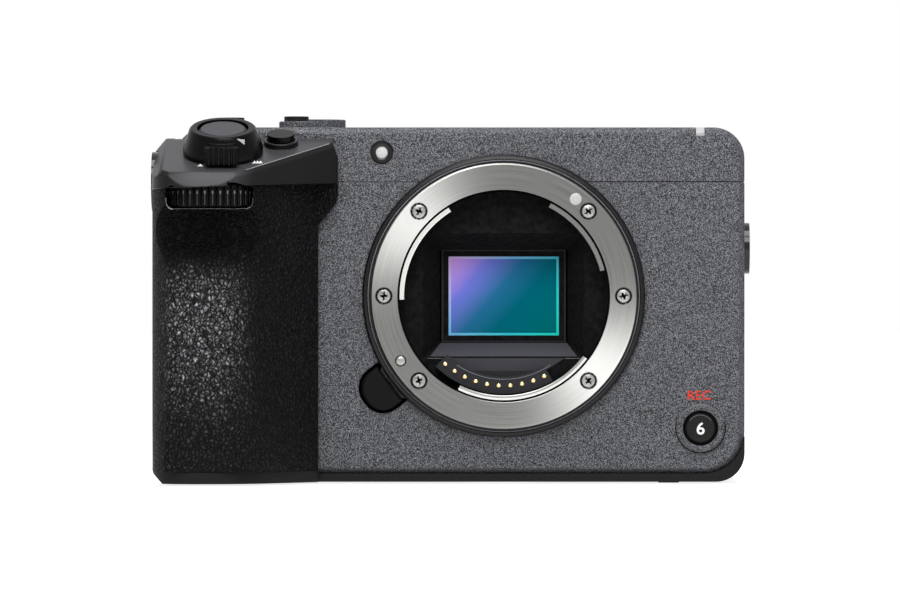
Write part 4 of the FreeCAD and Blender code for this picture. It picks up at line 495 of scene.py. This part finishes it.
def drawn_out(form, offset):
    """Draw the faces of a form out by an offset and give the points that moved."""
    made = bmesh.ops.extrude_face_region(form, geom=form.faces[:])
    marks = [item for item in made["geom"] if isinstance(item, bmesh.types.BMVert)]
    bmesh.ops.translate(form, vec=offset, verts=marks)
    return marks


def raised(form, offset):
    """A flat form given its thickness along an offset."""
    drawn_out(form, offset)
    bmesh.ops.recalc_face_normals(form, faces=form.faces)
    return form


def slab(wide, tall, low, high, corner=0.0, segments=6):
    """A plate between two levels, its corners rounded in plan."""
    form = bmesh.new()
    bmesh.ops.create_grid(form, x_segments=1, y_segments=1, size=0.5)
    bmesh.ops.scale(form, vec=(wide, tall, 1), verts=form.verts)
    bmesh.ops.translate(form, vec=(0, 0, low), verts=form.verts)
    if corner:
        bmesh.ops.bevel(form, geom=form.verts[:], offset=corner, affect="VERTICES", segments=segments,
                        profile=0.5, material=-1)
    return raised(form, (0, 0, high - low))


def outline(points, low, high):
    """A plate between two levels from a few corner points."""
    form = bmesh.new()
    form.faces.new([form.verts.new((x, y, low)) for x, y in points])
    return raised(form, (0, 0, high - low))


def moved(form, matrix):
    bmesh.ops.transform(form, matrix=matrix, verts=form.verts)
    return form


def joined(forms):
    """Several forms as one."""
    whole = bmesh.new()
    for form in forms:
        mesh = bpy.data.meshes.new("part_of_a_form")
        form.to_mesh(mesh)
        form.free()
        whole.from_mesh(mesh)
        bpy.data.meshes.remove(mesh)
    return whole


def around(make, places):
    """The same form at several places."""
    return joined([moved(make(), place) for place in places])


def drawn_form(name, curve):
    """The form that a curve or a text draws."""
    holder = bpy.data.objects.new(name, curve)
    bpy.context.scene.collection.objects.link(holder)
    bpy.context.view_layer.update()
    mesh = bpy.data.meshes.new_from_object(holder.evaluated_get(bpy.context.evaluated_depsgraph_get()))
    bpy.data.objects.remove(holder)
    form = bmesh.new()
    form.from_mesh(mesh)
    bpy.data.meshes.remove(mesh)
    bpy.data.curves.remove(curve)
    return form


def lettering(name, words, size, material, body, at, bolder=0.0, stretch=1.0):
    """Printed words, centred on their place."""
    curve = bpy.data.curves.new(name, "FONT")
    curve.body = words
    curve.size = size
    curve.align_x = "CENTER"
    curve.align_y = "CENTER"
    curve.extrude = LETTER_THICK / 2
    curve.offset = bolder
    curve.resolution_u = 4
    form = drawn_form(f"{name}_curve", curve)
    bmesh.ops.scale(form, vec=(stretch, 1, 1), verts=form.verts)
    return finish_piece(name, form, material, body, at=at)


def bead(name, points, radius, material, body):
    """A thin round rim along a line of points."""
    curve = bpy.data.curves.new(name, "CURVE")
    curve.dimensions = "3D"
    curve.bevel_depth = radius
    curve.bevel_resolution = 2
    curve.resolution_u = 6
    spline = curve.splines.new("NURBS")
    spline.points.add(len(points) - 1)
    for mark, point in zip(spline.points, points):
        mark.co = (*point, 1.0)
    spline.order_u = 3
    spline.use_endpoint_u = True
    return finish_piece(name, drawn_form(f"{name}_line", curve), material, body)


def cross_head():
    """A domed screw head with a cross-shaped recess that narrows towards its floor."""
    arm, reach, level, deep = 0.17, 0.78, 1.92, 0.34
    corners = [(reach, -arm), (reach, arm), (arm, arm), (arm, reach), (-arm, reach), (-arm, arm),
               (-reach, arm), (-reach, -arm), (-arm, -arm), (-arm, -reach), (arm, -reach), (arm, -arm)]
    form = bmesh.new()
    form.faces.new([form.verts.new((x, y, level)) for x, y in corners])
    mouth = form.edges[:]
    floor_marks = drawn_out(form, (0, 0, -deep))
    bmesh.ops.scale(form, vec=(0.62, 0.62, 1), verts=floor_marks)
    top = [face for face in form.faces if all(abs(mark.co.z - level) < 1e-4 for mark in face.verts)]
    bmesh.ops.delete(form, geom=top, context="FACES_ONLY")
    rim = bmesh.ops.create_circle(form, segments=12, radius=1.25, cap_ends=False,
                                  matrix=shifted(0, 0, level) @ turned_to("Z", -15))
    ring = list(dict.fromkeys(edge for mark in rim["verts"] for edge in mark.link_edges))
    bmesh.ops.bridge_loops(form, edges=[edge for edge in mouth if edge.is_valid] + ring)
    for radius, height in ((1.5, 1.8), (1.64, 1.55), (1.64, 0.0)):
        made = bmesh.ops.extrude_edge_only(form, edges=ring)
        marks = [item for item in made["geom"] if isinstance(item, bmesh.types.BMVert)]
        ring = [item for item in made["geom"] if isinstance(item, bmesh.types.BMEdge)
                and all(mark in marks for mark in item.verts)]
        for mark in marks:
            flat = Vector((mark.co.x, mark.co.y, 0)).normalized() * radius
            mark.co = (flat.x, flat.y, height)
    bmesh.ops.recalc_face_normals(form, faces=form.faces)
    return form


def sheet(points, thick):
    """A thin plate on the flat outline that its corner points give, raised towards the front."""
    form = bmesh.new()
    face = form.faces.new([form.verts.new(point) for point in points])
    form.normal_update()
    out = face.normal if face.normal.y < 0 else -face.normal
    return raised(form, out * thick)


def lit_by(node, x, z):
    """The point of a CAD piece that a ray from the front meets first, in millimetres."""
    form = bmesh.new()
    form.from_mesh(frame["nodes"][node].data)
    surface = BVHTree.FromBMesh(form)
    form.free()
    ahead = Vector((x, -60, z)) * MM
    hit = surface.ray_cast(ahead, Vector((0, 1, 0)))[0]
    return hit / MM


def peaks(count, wide, tall, gap):
    """Small triangles side by side on a thin base line, the sign for near and far."""
    step = wide + gap
    forms = [moved(outline([(-wide / 2, 0), (wide / 2, 0), (0, tall)], 0, PRINT_THICK),
                   shifted((number - (count - 1) / 2) * step, 0)) for number in range(count)]
    forms.append(moved(slab(count * step + 0.15, 0.25, 0, PRINT_THICK), shifted(0, -0.35)))
    return joined(forms)


# Housing with rounded edges

EDGE_ROUNDS = (
    (0.22, SHARP_EDGE, ("front_cover", "top_cover", "chassis", "rear_cover", "card_door")),
    (0.2, SHARP_EDGE, ("battery_door", "hot_shoe", "monitor_arm", "monitor_panel", "grip_top")),
    (0.0, SHARP_EDGE, ("bottom_cover",)),
    (0.1, SHARP_EDGE, ("front_dial", "rear_dial", "control_wheel", "zoom_lever")),
    (0.12, SHARP_EDGE, (
        "port_cover_usb", "port_cover_hdmi", "port_cover_audio", "power_switch", "tally_lamp",
        "lens_release_button", "button_one", "button_two", "button_three", "rec_button",
        "fn_button", "menu_button", "play_button", "delete_button", "joystick")),
    (0.0, 34, ("grip_skin",)),
    (0.1, SHARP_EDGE, ("mount_flange",)),
)
for width, sharp, nodes in EDGE_ROUNDS:
    for node in nodes:
        softened(node, width, sharp)

# Mount ring, claws, screws and marks

finish_piece("mount_ring_dressed", lathe([
    (24.4, 21.0), (30.35, 21.0), (30.75, 21.3), (30.75, 21.9), (30.35, 22.35), (29.75, 22.5),
    (29.5, 22.35), (29.3, 22.5), (28.98, 22.5), (28.98, 22.1), (24.4, 22.1), (24.4, 21.0),
], 128), RING_BLACK, "housing", at=MOUNT, stands_for=["mount_base_ring"], sharp=24)
# Painted light and painted shade: the three claws wear lit and shaded copies of steel, and a painted highlight
# runs along the lower claw's edge
LOW_CLAW_START = 244.0
LOW_CLAW_SWEEP = 79.0
CLAWS = ((122.0, 60.0, EDGE_STEEL), (14.4, 48.6, DIM_STEEL), (LOW_CLAW_START, LOW_CLAW_SWEEP, SCREW_STEEL))
for number, (start, sweep, finish) in enumerate(CLAWS):
    finish_piece(f"claw_face_{number + 1}", lathe([
        (21.62, 22.2), (22.62, 22.2), (22.62, 23.26), (21.75, 23.26), (21.62, 23.16),
    ], 32, sweep, start), finish, "housing", at=MOUNT)
finish_piece("claw_bright_edge", lathe([
    (22.16, 23.1), (22.62, 23.1), (22.62, 23.34), (22.16, 23.34),
], 40, LOW_CLAW_SWEEP, LOW_CLAW_START), EDGE_STEEL, "housing", at=MOUNT)
finish_piece("throat_groove", lathe([
    (22.6, 23.2), (23.04, 23.2), (23.04, 23.3), (22.6, 23.3), (22.6, 23.2),
], 96), WELL_BLACK, "housing", at=MOUNT)
# A painted highlight: a pale line round the outer black ring
finish_piece("ring_light_line", lathe([
    (29.34, 22.4), (29.56, 22.4), (29.56, 22.56), (29.45, 22.6), (29.34, 22.56), (29.34, 22.4),
], 128), EDGE_GREY, "housing", at=MOUNT)


SCREW_CIRCLE = 26.0
SCREW_FOOT = 22.1
SCREW_ANGLES = (0, 45, 135, 180, 225, 315)
screw_places = [polar(SCREW_CIRCLE, angle, SCREW_FOOT) @ turned_to("Z", 17 + 23 * number)
                for number, angle in enumerate(SCREW_ANGLES)]
finish_piece("mount_screws_dressed", around(cross_head, screw_places), SCREW_STEEL, "housing",
             at=MOUNT, stands_for=["mount_screws"])
finish_piece("screw_seats", around(lambda: lathe([
    (1.7, 24.2), (1.8, 24.2), (1.8, 24.52), (1.9, 24.54), (1.9, 24.5), (1.7, 23.6),
], 24), [polar(SCREW_CIRCLE, angle) for angle in SCREW_ANGLES]), TRIM_BLACK, "housing", at=MOUNT)
LOCK_PIN = MOUNT @ polar(26.4, 212.2)
finish_piece("lock_pin_dressed", lathe([
    (0, 20.8), (1.04, 20.8), (1.04, 25.1), (0.92, 25.42), (0.6, 25.58), (0, 25.6),
], 28), SCREW_STEEL, "lock_pin", at=LOCK_PIN, stands_for=["lock_pin"])
INDEX_DOT = MOUNT @ polar(26.2, 53.4)
finish_piece("index_dot", lathe([
    (0, 24.62), (0.5, 24.64), (0.95, 24.6), (1.28, 24.5), (1.28, 24.3), (0, 24.3),
], 32), DOT_GREY, "housing", at=INDEX_DOT)

# Chamber, sensor and contacts

BORDER_BACK = 9.2
BORDER_FRONT = 9.32
BORDER_SIDES = ((27.3, 0.35, 0, 10.0), (27.3, 0.35, 0, -10.0), (0.35, 19.7, 13.4, 0), (0.35, 19.7, -13.4, 0))
finish_piece("sensor_border", joined([
    moved(slab(wide, tall, BORDER_BACK, BORDER_FRONT), shifted(x, y)) for wide, tall, x, y in BORDER_SIDES
]), CHAMBER_GREY, "sensor", at=MOUNT)
CONTACT_CIRCLE = 19.5
CONTACT_FIRST = 229.3
CONTACT_STEP = 7.5
CONTACTS = 10
contact_places = [polar(CONTACT_CIRCLE, CONTACT_FIRST + CONTACT_STEP * number) for number in range(CONTACTS)]
finish_piece("contact_domes", around(lambda: lathe([
    (0, 21.95), (0.24, 21.92), (0.42, 21.8), (0.5, 21.5), (0, 21.5),
], 16), contact_places), GOLD, "housing", at=MOUNT, stands_for=["contact_pins"])


def slope_depth(z):
    """The chamber's lower slope, its depth behind the origin plane at a height."""
    return -12.21 + (z - 29.5) * 2.475


SLOPE_TOP = 30.35
SLOPE_LOW = 27.5
SLOPE_TOP_HALF = 13.8
SLOPE_LOW_HALF = 16.0
STEP_FACE = -18.4
STEP_TOP = 27.15
STEP_LOW = 24.4
STEP_TOP_HALF = 13.3
STEP_LOW_HALF = 8.9
LEDGE_RADIUS = 18.1
# Painted light: a paler sheet on the chamber's lower slope, which faces up
finish_piece("chamber_slope", sheet([
    (-SLOPE_TOP_HALF, slope_depth(SLOPE_TOP), SLOPE_TOP), (SLOPE_TOP_HALF, slope_depth(SLOPE_TOP), SLOPE_TOP),
    (SLOPE_LOW_HALF, slope_depth(SLOPE_LOW), SLOPE_LOW), (-SLOPE_LOW_HALF, slope_depth(SLOPE_LOW), SLOPE_LOW),
], 0.08), SLOPE_GREY, "housing")
finish_piece("chamber_step", sheet([
    (-STEP_TOP_HALF, STEP_FACE, STEP_TOP), (STEP_TOP_HALF, STEP_FACE, STEP_TOP),
    (STEP_LOW_HALF, STEP_FACE, STEP_LOW), (-STEP_LOW_HALF, STEP_FACE, STEP_LOW),
], 0.08), STEP_GREY, "housing")
ledge_marks = []
for angle in range(294, 245, -4):
    x, _, z = (MOUNT @ polar(LEDGE_RADIUS, angle)).translation
    ledge_marks.append((x, STEP_FACE, z))
finish_piece("chamber_foot", sheet([
    (-STEP_LOW_HALF, STEP_FACE, STEP_LOW), (STEP_LOW_HALF, STEP_FACE, STEP_LOW), *ledge_marks,
], 0.06), CHAMBER_GREY, "housing")
# Painted highlights: pale lines along the ledge's curved edge and at the ends of the step
finish_piece("ledge_edge_highlight", lathe([
    (18.02, 21.42), (18.18, 21.42), (18.18, 21.56), (18.02, 21.56),
], 40, sweep=68.0, start=236.0), EDGE_GREY, "housing", at=MOUNT)
finish_piece("shelf_lines", joined([
    moved(slab(3.2, 0.14, 0, 0.12), on_front(side * 15.0, 27.1, -STEP_FACE)) for side in (-1, 1)
]), EDGE_GREY, "housing")

# Light sensor and its diffuser

LIGHT_SENSOR = on_front(-26.5, 71.9, 0)
finish_piece("light_sensor_dressed", lathe([
    (0, 20.6), (1.3, 20.6), (1.42, 21.15), (1.8, 21.28), (2.25, 21.24), (2.4, 21.0), (2.4, 17.0), (0, 17.0),
], 40), GLOSS_BLACK, "housing", at=LIGHT_SENSOR, stands_for=["light_sensor"])
finish_piece("light_diffuser", lathe([(0, 21.1), (0.9, 21.06), (1.3, 20.9), (1.3, 20.5), (0, 20.5)], 32),
             SENSOR_WHITE, "housing", at=LIGHT_SENSOR)

# Front button, its number and its label

SIX_ACROSS = 42.8
SIX_HEIGHT = 12.0
SIX = on_front(SIX_ACROSS, SIX_HEIGHT, 0)
finish_piece("button_six_dressed", lathe([
    (0, 21.1), (2.2, 21.14), (2.95, 21.3), (3.25, 21.1), (3.25, 18.7), (4.65, 18.7), (4.65, 17.2), (0, 17.2),
], 48), TRIM_BLACK, "button_six", at=SIX, stands_for=["button_six"])
lettering("button_number", "6", 3.65, WHITE_PRINT, "button_six",
          on_front(SIX_ACROSS, SIX_HEIGHT - 0.25, BODY_FRONT + 0.13), bolder=0.06, stretch=1.06)
finish_piece("six_top_light", joined([
    lathe([(2.78, 21.22), (2.9, 21.22), (2.9, 21.32), (2.78, 21.32)], 20, sweep=110.0, start=35.0),
    lathe([(4.86, 21.8), (5.06, 21.8), (5.06, 21.94), (4.86, 21.94)], 28, sweep=140.0, start=22.0),
]), EDGE_GREY, "housing", at=SIX)
finish_piece("six_low_shade", lathe([
    (5.15, 20.9), (5.5, 20.9), (5.5, 21.03), (5.15, 21.03),
], 40, sweep=210.0, start=165.0), WELL_BLACK, "housing", at=SIX)
lettering("recording_label", "REC", 2.8, RED_PRINT, "housing", on_front(42.5, 19.0),
          bolder=0.03, stretch=1.06)

# The seam between the top cover and the front, drawn as a painted shadow with a painted highlight beside it

SEAM_HEIGHT = 65.5
SEAM_RUNS = ((-36.4, -18.6), (18.6, 52.2))
SEAM_LINES = (
    ("seam_shadow", 0.13, 0.0, WELL_BLACK, "matte_black"),
    ("seam_edge_highlight", 0.07, -0.12, EDGE_GREY, "button_satin"),
)
for name, wide, rise, finish, slot in SEAM_LINES:
    finish_piece(name, joined([
        moved(slab(end - start, wide, 0, 0.02), shifted((start + end) / 2, rise)) for start, end in SEAM_RUNS
    ]), finish, "housing", at=on_front(0, SEAM_HEIGHT))

# Marks on the sloping deck, and painted highlights on a facet of the lever, along the deck's edge and along the
# lower lip of the dial's window

finish_piece("wide_mark", peaks(1, 0.9, 1.1, 0.2), WHITE_PRINT, "housing", at=on_deck(-65.2, -38.2))
finish_piece("tele_mark", peaks(3, 0.66, 1.2, 0.0), WHITE_PRINT, "housing", at=on_deck(-53.0, -36.4))
FACET_GAP = Vector((0, 0.12, 0))
FACET_CORNERS = ((-57.5, 74.5), (-55.7, 74.3), (-55.8, 73.2))
facet_marks = [lit_by("zoom_lever", x, z) - FACET_GAP for x, z in FACET_CORNERS]
# Painted highlight: a pale triangle on a facet of the lever
finish_piece("lever_facet_highlight", sheet(facet_marks, 0.1), LAMP_GREY, "zoom_lever")

# Painted highlight: a pale bead along the deck's right edge
DECK_EDGE = ((-55.4, -41.02, 67.72), (-50.0, -35.86, 69.56), (-44.0, -30.14, 71.62), (-37.9, -24.34, 73.72))
bead("deck_edge", DECK_EDGE, 0.1, LIP_GREY, "housing")

WINDOW_LEFT = -72.5
WINDOW_RIGHT = -53.8
WINDOW_FLOOR = 59.35
RIM_STEPS = ((0, 2.4), (0, 1.2), (0.25, 0.25), (1.4, 0), (5.0, 0.1))
rim_line = [(WINDOW_LEFT + inset, rise, -1) for inset, rise in RIM_STEPS]
rim_line += [(WINDOW_RIGHT - inset, rise, 1) for inset, rise in reversed(RIM_STEPS)]
rim_marks = []
for x, rise, side in rim_line:
    z = WINDOW_FLOOR + rise
    skin = lit_by("grip_skin", x + side * 0.3, z - 0.2)
    rim_marks.append((x, skin.y - 0.02, z))
# Painted highlights: a pale bead along the lower lip of the dial's window, brighter at its corners
bead("window_rim_highlight", rim_marks, 0.12, EDGE_GREY, "housing")
bead("window_corner_left", rim_marks[1:4], 0.17, LIP_GREY, "housing")
bead("window_corner_right", rim_marks[-4:-1], 0.17, LIP_GREY, "housing")

# Painted highlights on the ribs of the front dial

DIAL = shifted(-63.2, -33.8)
DIAL_RADIUS = 9.5
DIAL_RIBS = 36
rib_places = [turned_to("Z", 360 * (number + 0.5) / DIAL_RIBS) @ shifted(DIAL_RADIUS, 0)
              for number in range(DIAL_RIBS)]
finish_piece("dial_rib_lines", around(lambda: slab(0.08, 0.22, 60.2, 63.3), rib_places), STEP_GREY,
             "front_dial", at=DIAL)
finish_piece("dial_rib_tips", around(lambda: slab(0.14, 0.34, 62.6, 63.3), rib_places), EDGE_GREY,
             "front_dial", at=DIAL)

# Buttons and marks on the top

for number, node in enumerate(("button_one", "button_two", "button_three")):
    low, high = (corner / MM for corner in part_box(node))
    middle = (low + high) / 2
    lettering(f"top_number_{number + 1}", str(number + 1), 2.4, GREY_PRINT, node_body[node],
              shifted(middle.x, middle.y, high.z), bolder=0.03)

# Rear marks

BUTTON_FACE = 32.5
REAR_MARKS = (
    ("menu_bars", "menu_button", (-40.0, 47.0),
     [moved(slab(1.9, 0.3, 0, PRINT_THICK), shifted(0, 0.75 * row)) for row in (-1, 0, 1)]),
    ("play_triangle", "play_button", (-38.0, 12.0),
     [outline([(-0.7, -0.95), (1.0, 0), (-0.7, 0.95)], 0, PRINT_THICK)]),
    ("delete_bin", "delete_button", (-58.0, 10.5),
     [outline([(-0.65, 0.5), (-0.5, -1.0), (0.5, -1.0), (0.65, 0.5)], 0, PRINT_THICK),
      moved(slab(1.7, 0.22, 0, PRINT_THICK), shifted(0, 0.8))]),
)
for name, node, (x, z), forms in REAR_MARKS:
    finish_piece(name, joined(forms), GREY_PRINT, node_body[node], at=on_back(x, z, BUTTON_FACE))
for name, word, x in (("switch_off", "OFF", 40.6), ("switch_on", "ON", 27.0)):
    lettering(name, word, 1.9, WHITE_PRINT, "housing", on_back(x, 75.0), bolder=0.02)

WHEEL_ACROSS = -50.0
WHEEL_HEIGHT = 31.0
WHEEL_RIBS = 72
rib_places = [turned_to("Z", 360 * number / WHEEL_RIBS) @ shifted(10.9, 0) for number in range(WHEEL_RIBS)]
finish_piece("wheel_knurl", around(lambda: slab(1.2, 0.4, 0, 0.18, 0.1, 2), rib_places), TRIM_BLACK,
             node_body["control_wheel"], at=on_back(WHEEL_ACROSS, WHEEL_HEIGHT, 32.75))
mark_places = [turned_to("Z", 90 * quarter) @ shifted(8.2, 0) for quarter in range(4)]
finish_piece("wheel_marks", around(lambda: slab(0.9, 0.3, 0, PRINT_THICK), mark_places), GREY_PRINT,
             node_body["control_wheel"], at=on_back(WHEEL_ACROSS, WHEEL_HEIGHT, 32.8))
finish_piece("screen_picture_area", slab(60.0, 40.0, 0, 0.02, 0.6), SCREEN_DARK, node_body["monitor_glass"],
             at=on_back(8.25, 35.0, 39.46))

# Screws of the base, and screws and contacts of the accessory shoe

SHOE_MIDDLE = 3.0
SHOE_FLOOR = 73.4
SHOE_CONTACTS_BACK = 25.6
CONTACT_PLATE = 0.06
screw_places = [shifted(SHOE_MIDDLE + across, y, SHOE_FLOOR - 1.0) @ turned_to("Z", 40 + 29 * across)
                for across in (-6.2, 6.2) for y in (12.5, 27.5)]
finish_piece("shoe_screws", around(lambda: moved(cross_head(), Matrix.Scale(0.62, 4)), screw_places),
             SCREW_STEEL, "housing")
finish_piece("shoe_contacts", slab(9.4, 4.6, 0, CONTACT_PLATE, 0.6), TRIM_BLACK, "housing",
             at=shifted(SHOE_MIDDLE, SHOE_CONTACTS_BACK, SHOE_FLOOR))
pad_places = [shifted(SHOE_MIDDLE + 1.5 * (number - 2), SHOE_CONTACTS_BACK, SHOE_FLOOR + CONTACT_PLATE)
              for number in range(5)]
finish_piece("shoe_contact_pads", around(lambda: slab(0.8, 2.2, 0, 0.1, 0.3), pad_places), GOLD, "housing")

BASE_SCREWS = ((-34, -1), (46, -15), (46, 25.5), (-34, 25.5), (-16, -15), (12, 25.5))
BASE_SCREW_LEVEL = 1.75
screw_places = [shifted(x, y, BASE_SCREW_LEVEL) @ turned_to("X", 180) @ turned_to("Z", 31 * x)
                for x, y in BASE_SCREWS]
finish_piece("base_screws", around(lambda: moved(cross_head(), Matrix.Scale(0.8, 4)), screw_places),
             SOCKET_STEEL, "housing")

# Camera, lamps and surroundings

PIXELS_WIDE = 900
FOCAL_PIXELS = 6915.0
FILM_WIDE = 36.0
CAMERA_AWAY = 1.5245
camera_data = bpy.data.cameras.new("camera")
camera_data.sensor_width = FILM_WIDE
camera_data.lens = FOCAL_PIXELS * FILM_WIDE / PIXELS_WIDE
camera_data.shift_x = -53.7 / PIXELS_WIDE
camera_data.shift_y = -4.0 / PIXELS_WIDE
camera_data.clip_start = 0.1
camera_data.clip_end = 50.0
camera = bpy.data.objects.new("camera", camera_data)
camera.location = (0, -CAMERA_AWAY, MOUNT_HEIGHT * MM)
camera.rotation_euler = (pi / 2, 0, 0)
bpy.context.scene.collection.objects.link(camera)
bpy.context.scene.camera = camera


def soft_lamp(name, place, aim, wide, tall, watts):
    """A large soft lamp turned to a point."""
    data = bpy.data.lights.new(name, "AREA")
    data.shape = "RECTANGLE"
    data.size = wide
    data.size_y = tall
    data.energy = watts
    lamp = bpy.data.objects.new(name, data)
    lamp.location = place
    lamp.rotation_euler = (Vector(aim) - Vector(place)).to_track_quat("-Z", "Y").to_euler()
    bpy.context.scene.collection.objects.link(lamp)


soft_lamp("key_lamp", (-0.02, -0.28, 0.28), (0, 0, 0.07), 0.22, 0.14, 0.85)
soft_lamp("fill_lamp", (0.9, -1.1, 0.6), (0, 0, 0.05), 0.8, 0.8, 0.9)
soft_lamp("top_lamp", (-0.06, -0.2, 0.72), (0, 0, 0.06), 0.5, 0.36, 4.4)

world = bpy.data.worlds.new("surroundings")
world.use_nodes = True
bpy.context.scene.world = world
tree = world.node_tree
tree.nodes.clear()


def seen_directly(nodes, links):
    """One where the camera, a mirror or clear glass looks, nought for plain light."""
    path = nodes.new("ShaderNodeLightPath")
    total = path.outputs["Is Camera Ray"]
    for ray in ("Is Glossy Ray", "Is Transmission Ray"):
        add = nodes.new("ShaderNodeMath")
        add.operation = "MAXIMUM"
        links.new(total, add.inputs[0])
        links.new(path.outputs[ray], add.inputs[1])
        total = add.outputs[0]
    return total


PLAIN_LIGHT = 0.31
SEEN_WHITE = 1.0
choice = tree.nodes.new("ShaderNodeMixShader")
output = tree.nodes.new("ShaderNodeOutputWorld")
tree.links.new(seen_directly(tree.nodes, tree.links), choice.inputs[0])
for entry, strength in ((1, PLAIN_LIGHT), (2, SEEN_WHITE)):
    background = tree.nodes.new("ShaderNodeBackground")
    background.inputs["Color"].default_value = (1, 1, 1, 1)
    background.inputs["Strength"].default_value = strength
    tree.links.new(background.outputs[0], choice.inputs[entry])
tree.links.new(choice.outputs[0], output.inputs["Surface"])

FLOOR_DROP = 0.0002
FLOOR_GLOW = 0.82
floor_form = bmesh.new()
bmesh.ops.create_grid(floor_form, x_segments=1, y_segments=1, size=6.0)
bmesh.ops.translate(floor_form, vec=(0, 0, -FLOOR_DROP), verts=floor_form.verts)
floor_mesh = bpy.data.meshes.new("floor")
floor_form.to_mesh(floor_mesh)
floor_form.free()
floor = bpy.data.objects.new("floor", floor_mesh)
bpy.context.scene.collection.objects.link(floor)
floor_finish = bpy.data.materials.new("pale_floor")
floor_finish.use_nodes = True
floor_tree = floor_finish.node_tree
floor_shader = floor_tree.nodes["Principled BSDF"]
floor_shader.inputs["Base Color"].default_value = (0.8, 0.8, 0.8, 1)
floor_shader.inputs["Roughness"].default_value = 0.9
floor_shader.inputs["Specular IOR Level"].default_value = 0.0
floor_shader.inputs["Emission Color"].default_value = (1, 1, 1, 1)
glow = floor_tree.nodes.new("ShaderNodeMath")
glow.operation = "MULTIPLY"
glow.inputs[1].default_value = FLOOR_GLOW
floor_tree.links.new(seen_directly(floor_tree.nodes, floor_tree.links), glow.inputs[0])
floor_tree.links.new(glow.outputs[0], floor_shader.inputs["Emission Strength"])
floor_mesh.materials.append(floor_finish)

bpy.context.scene.view_settings.view_transform = "Standard"
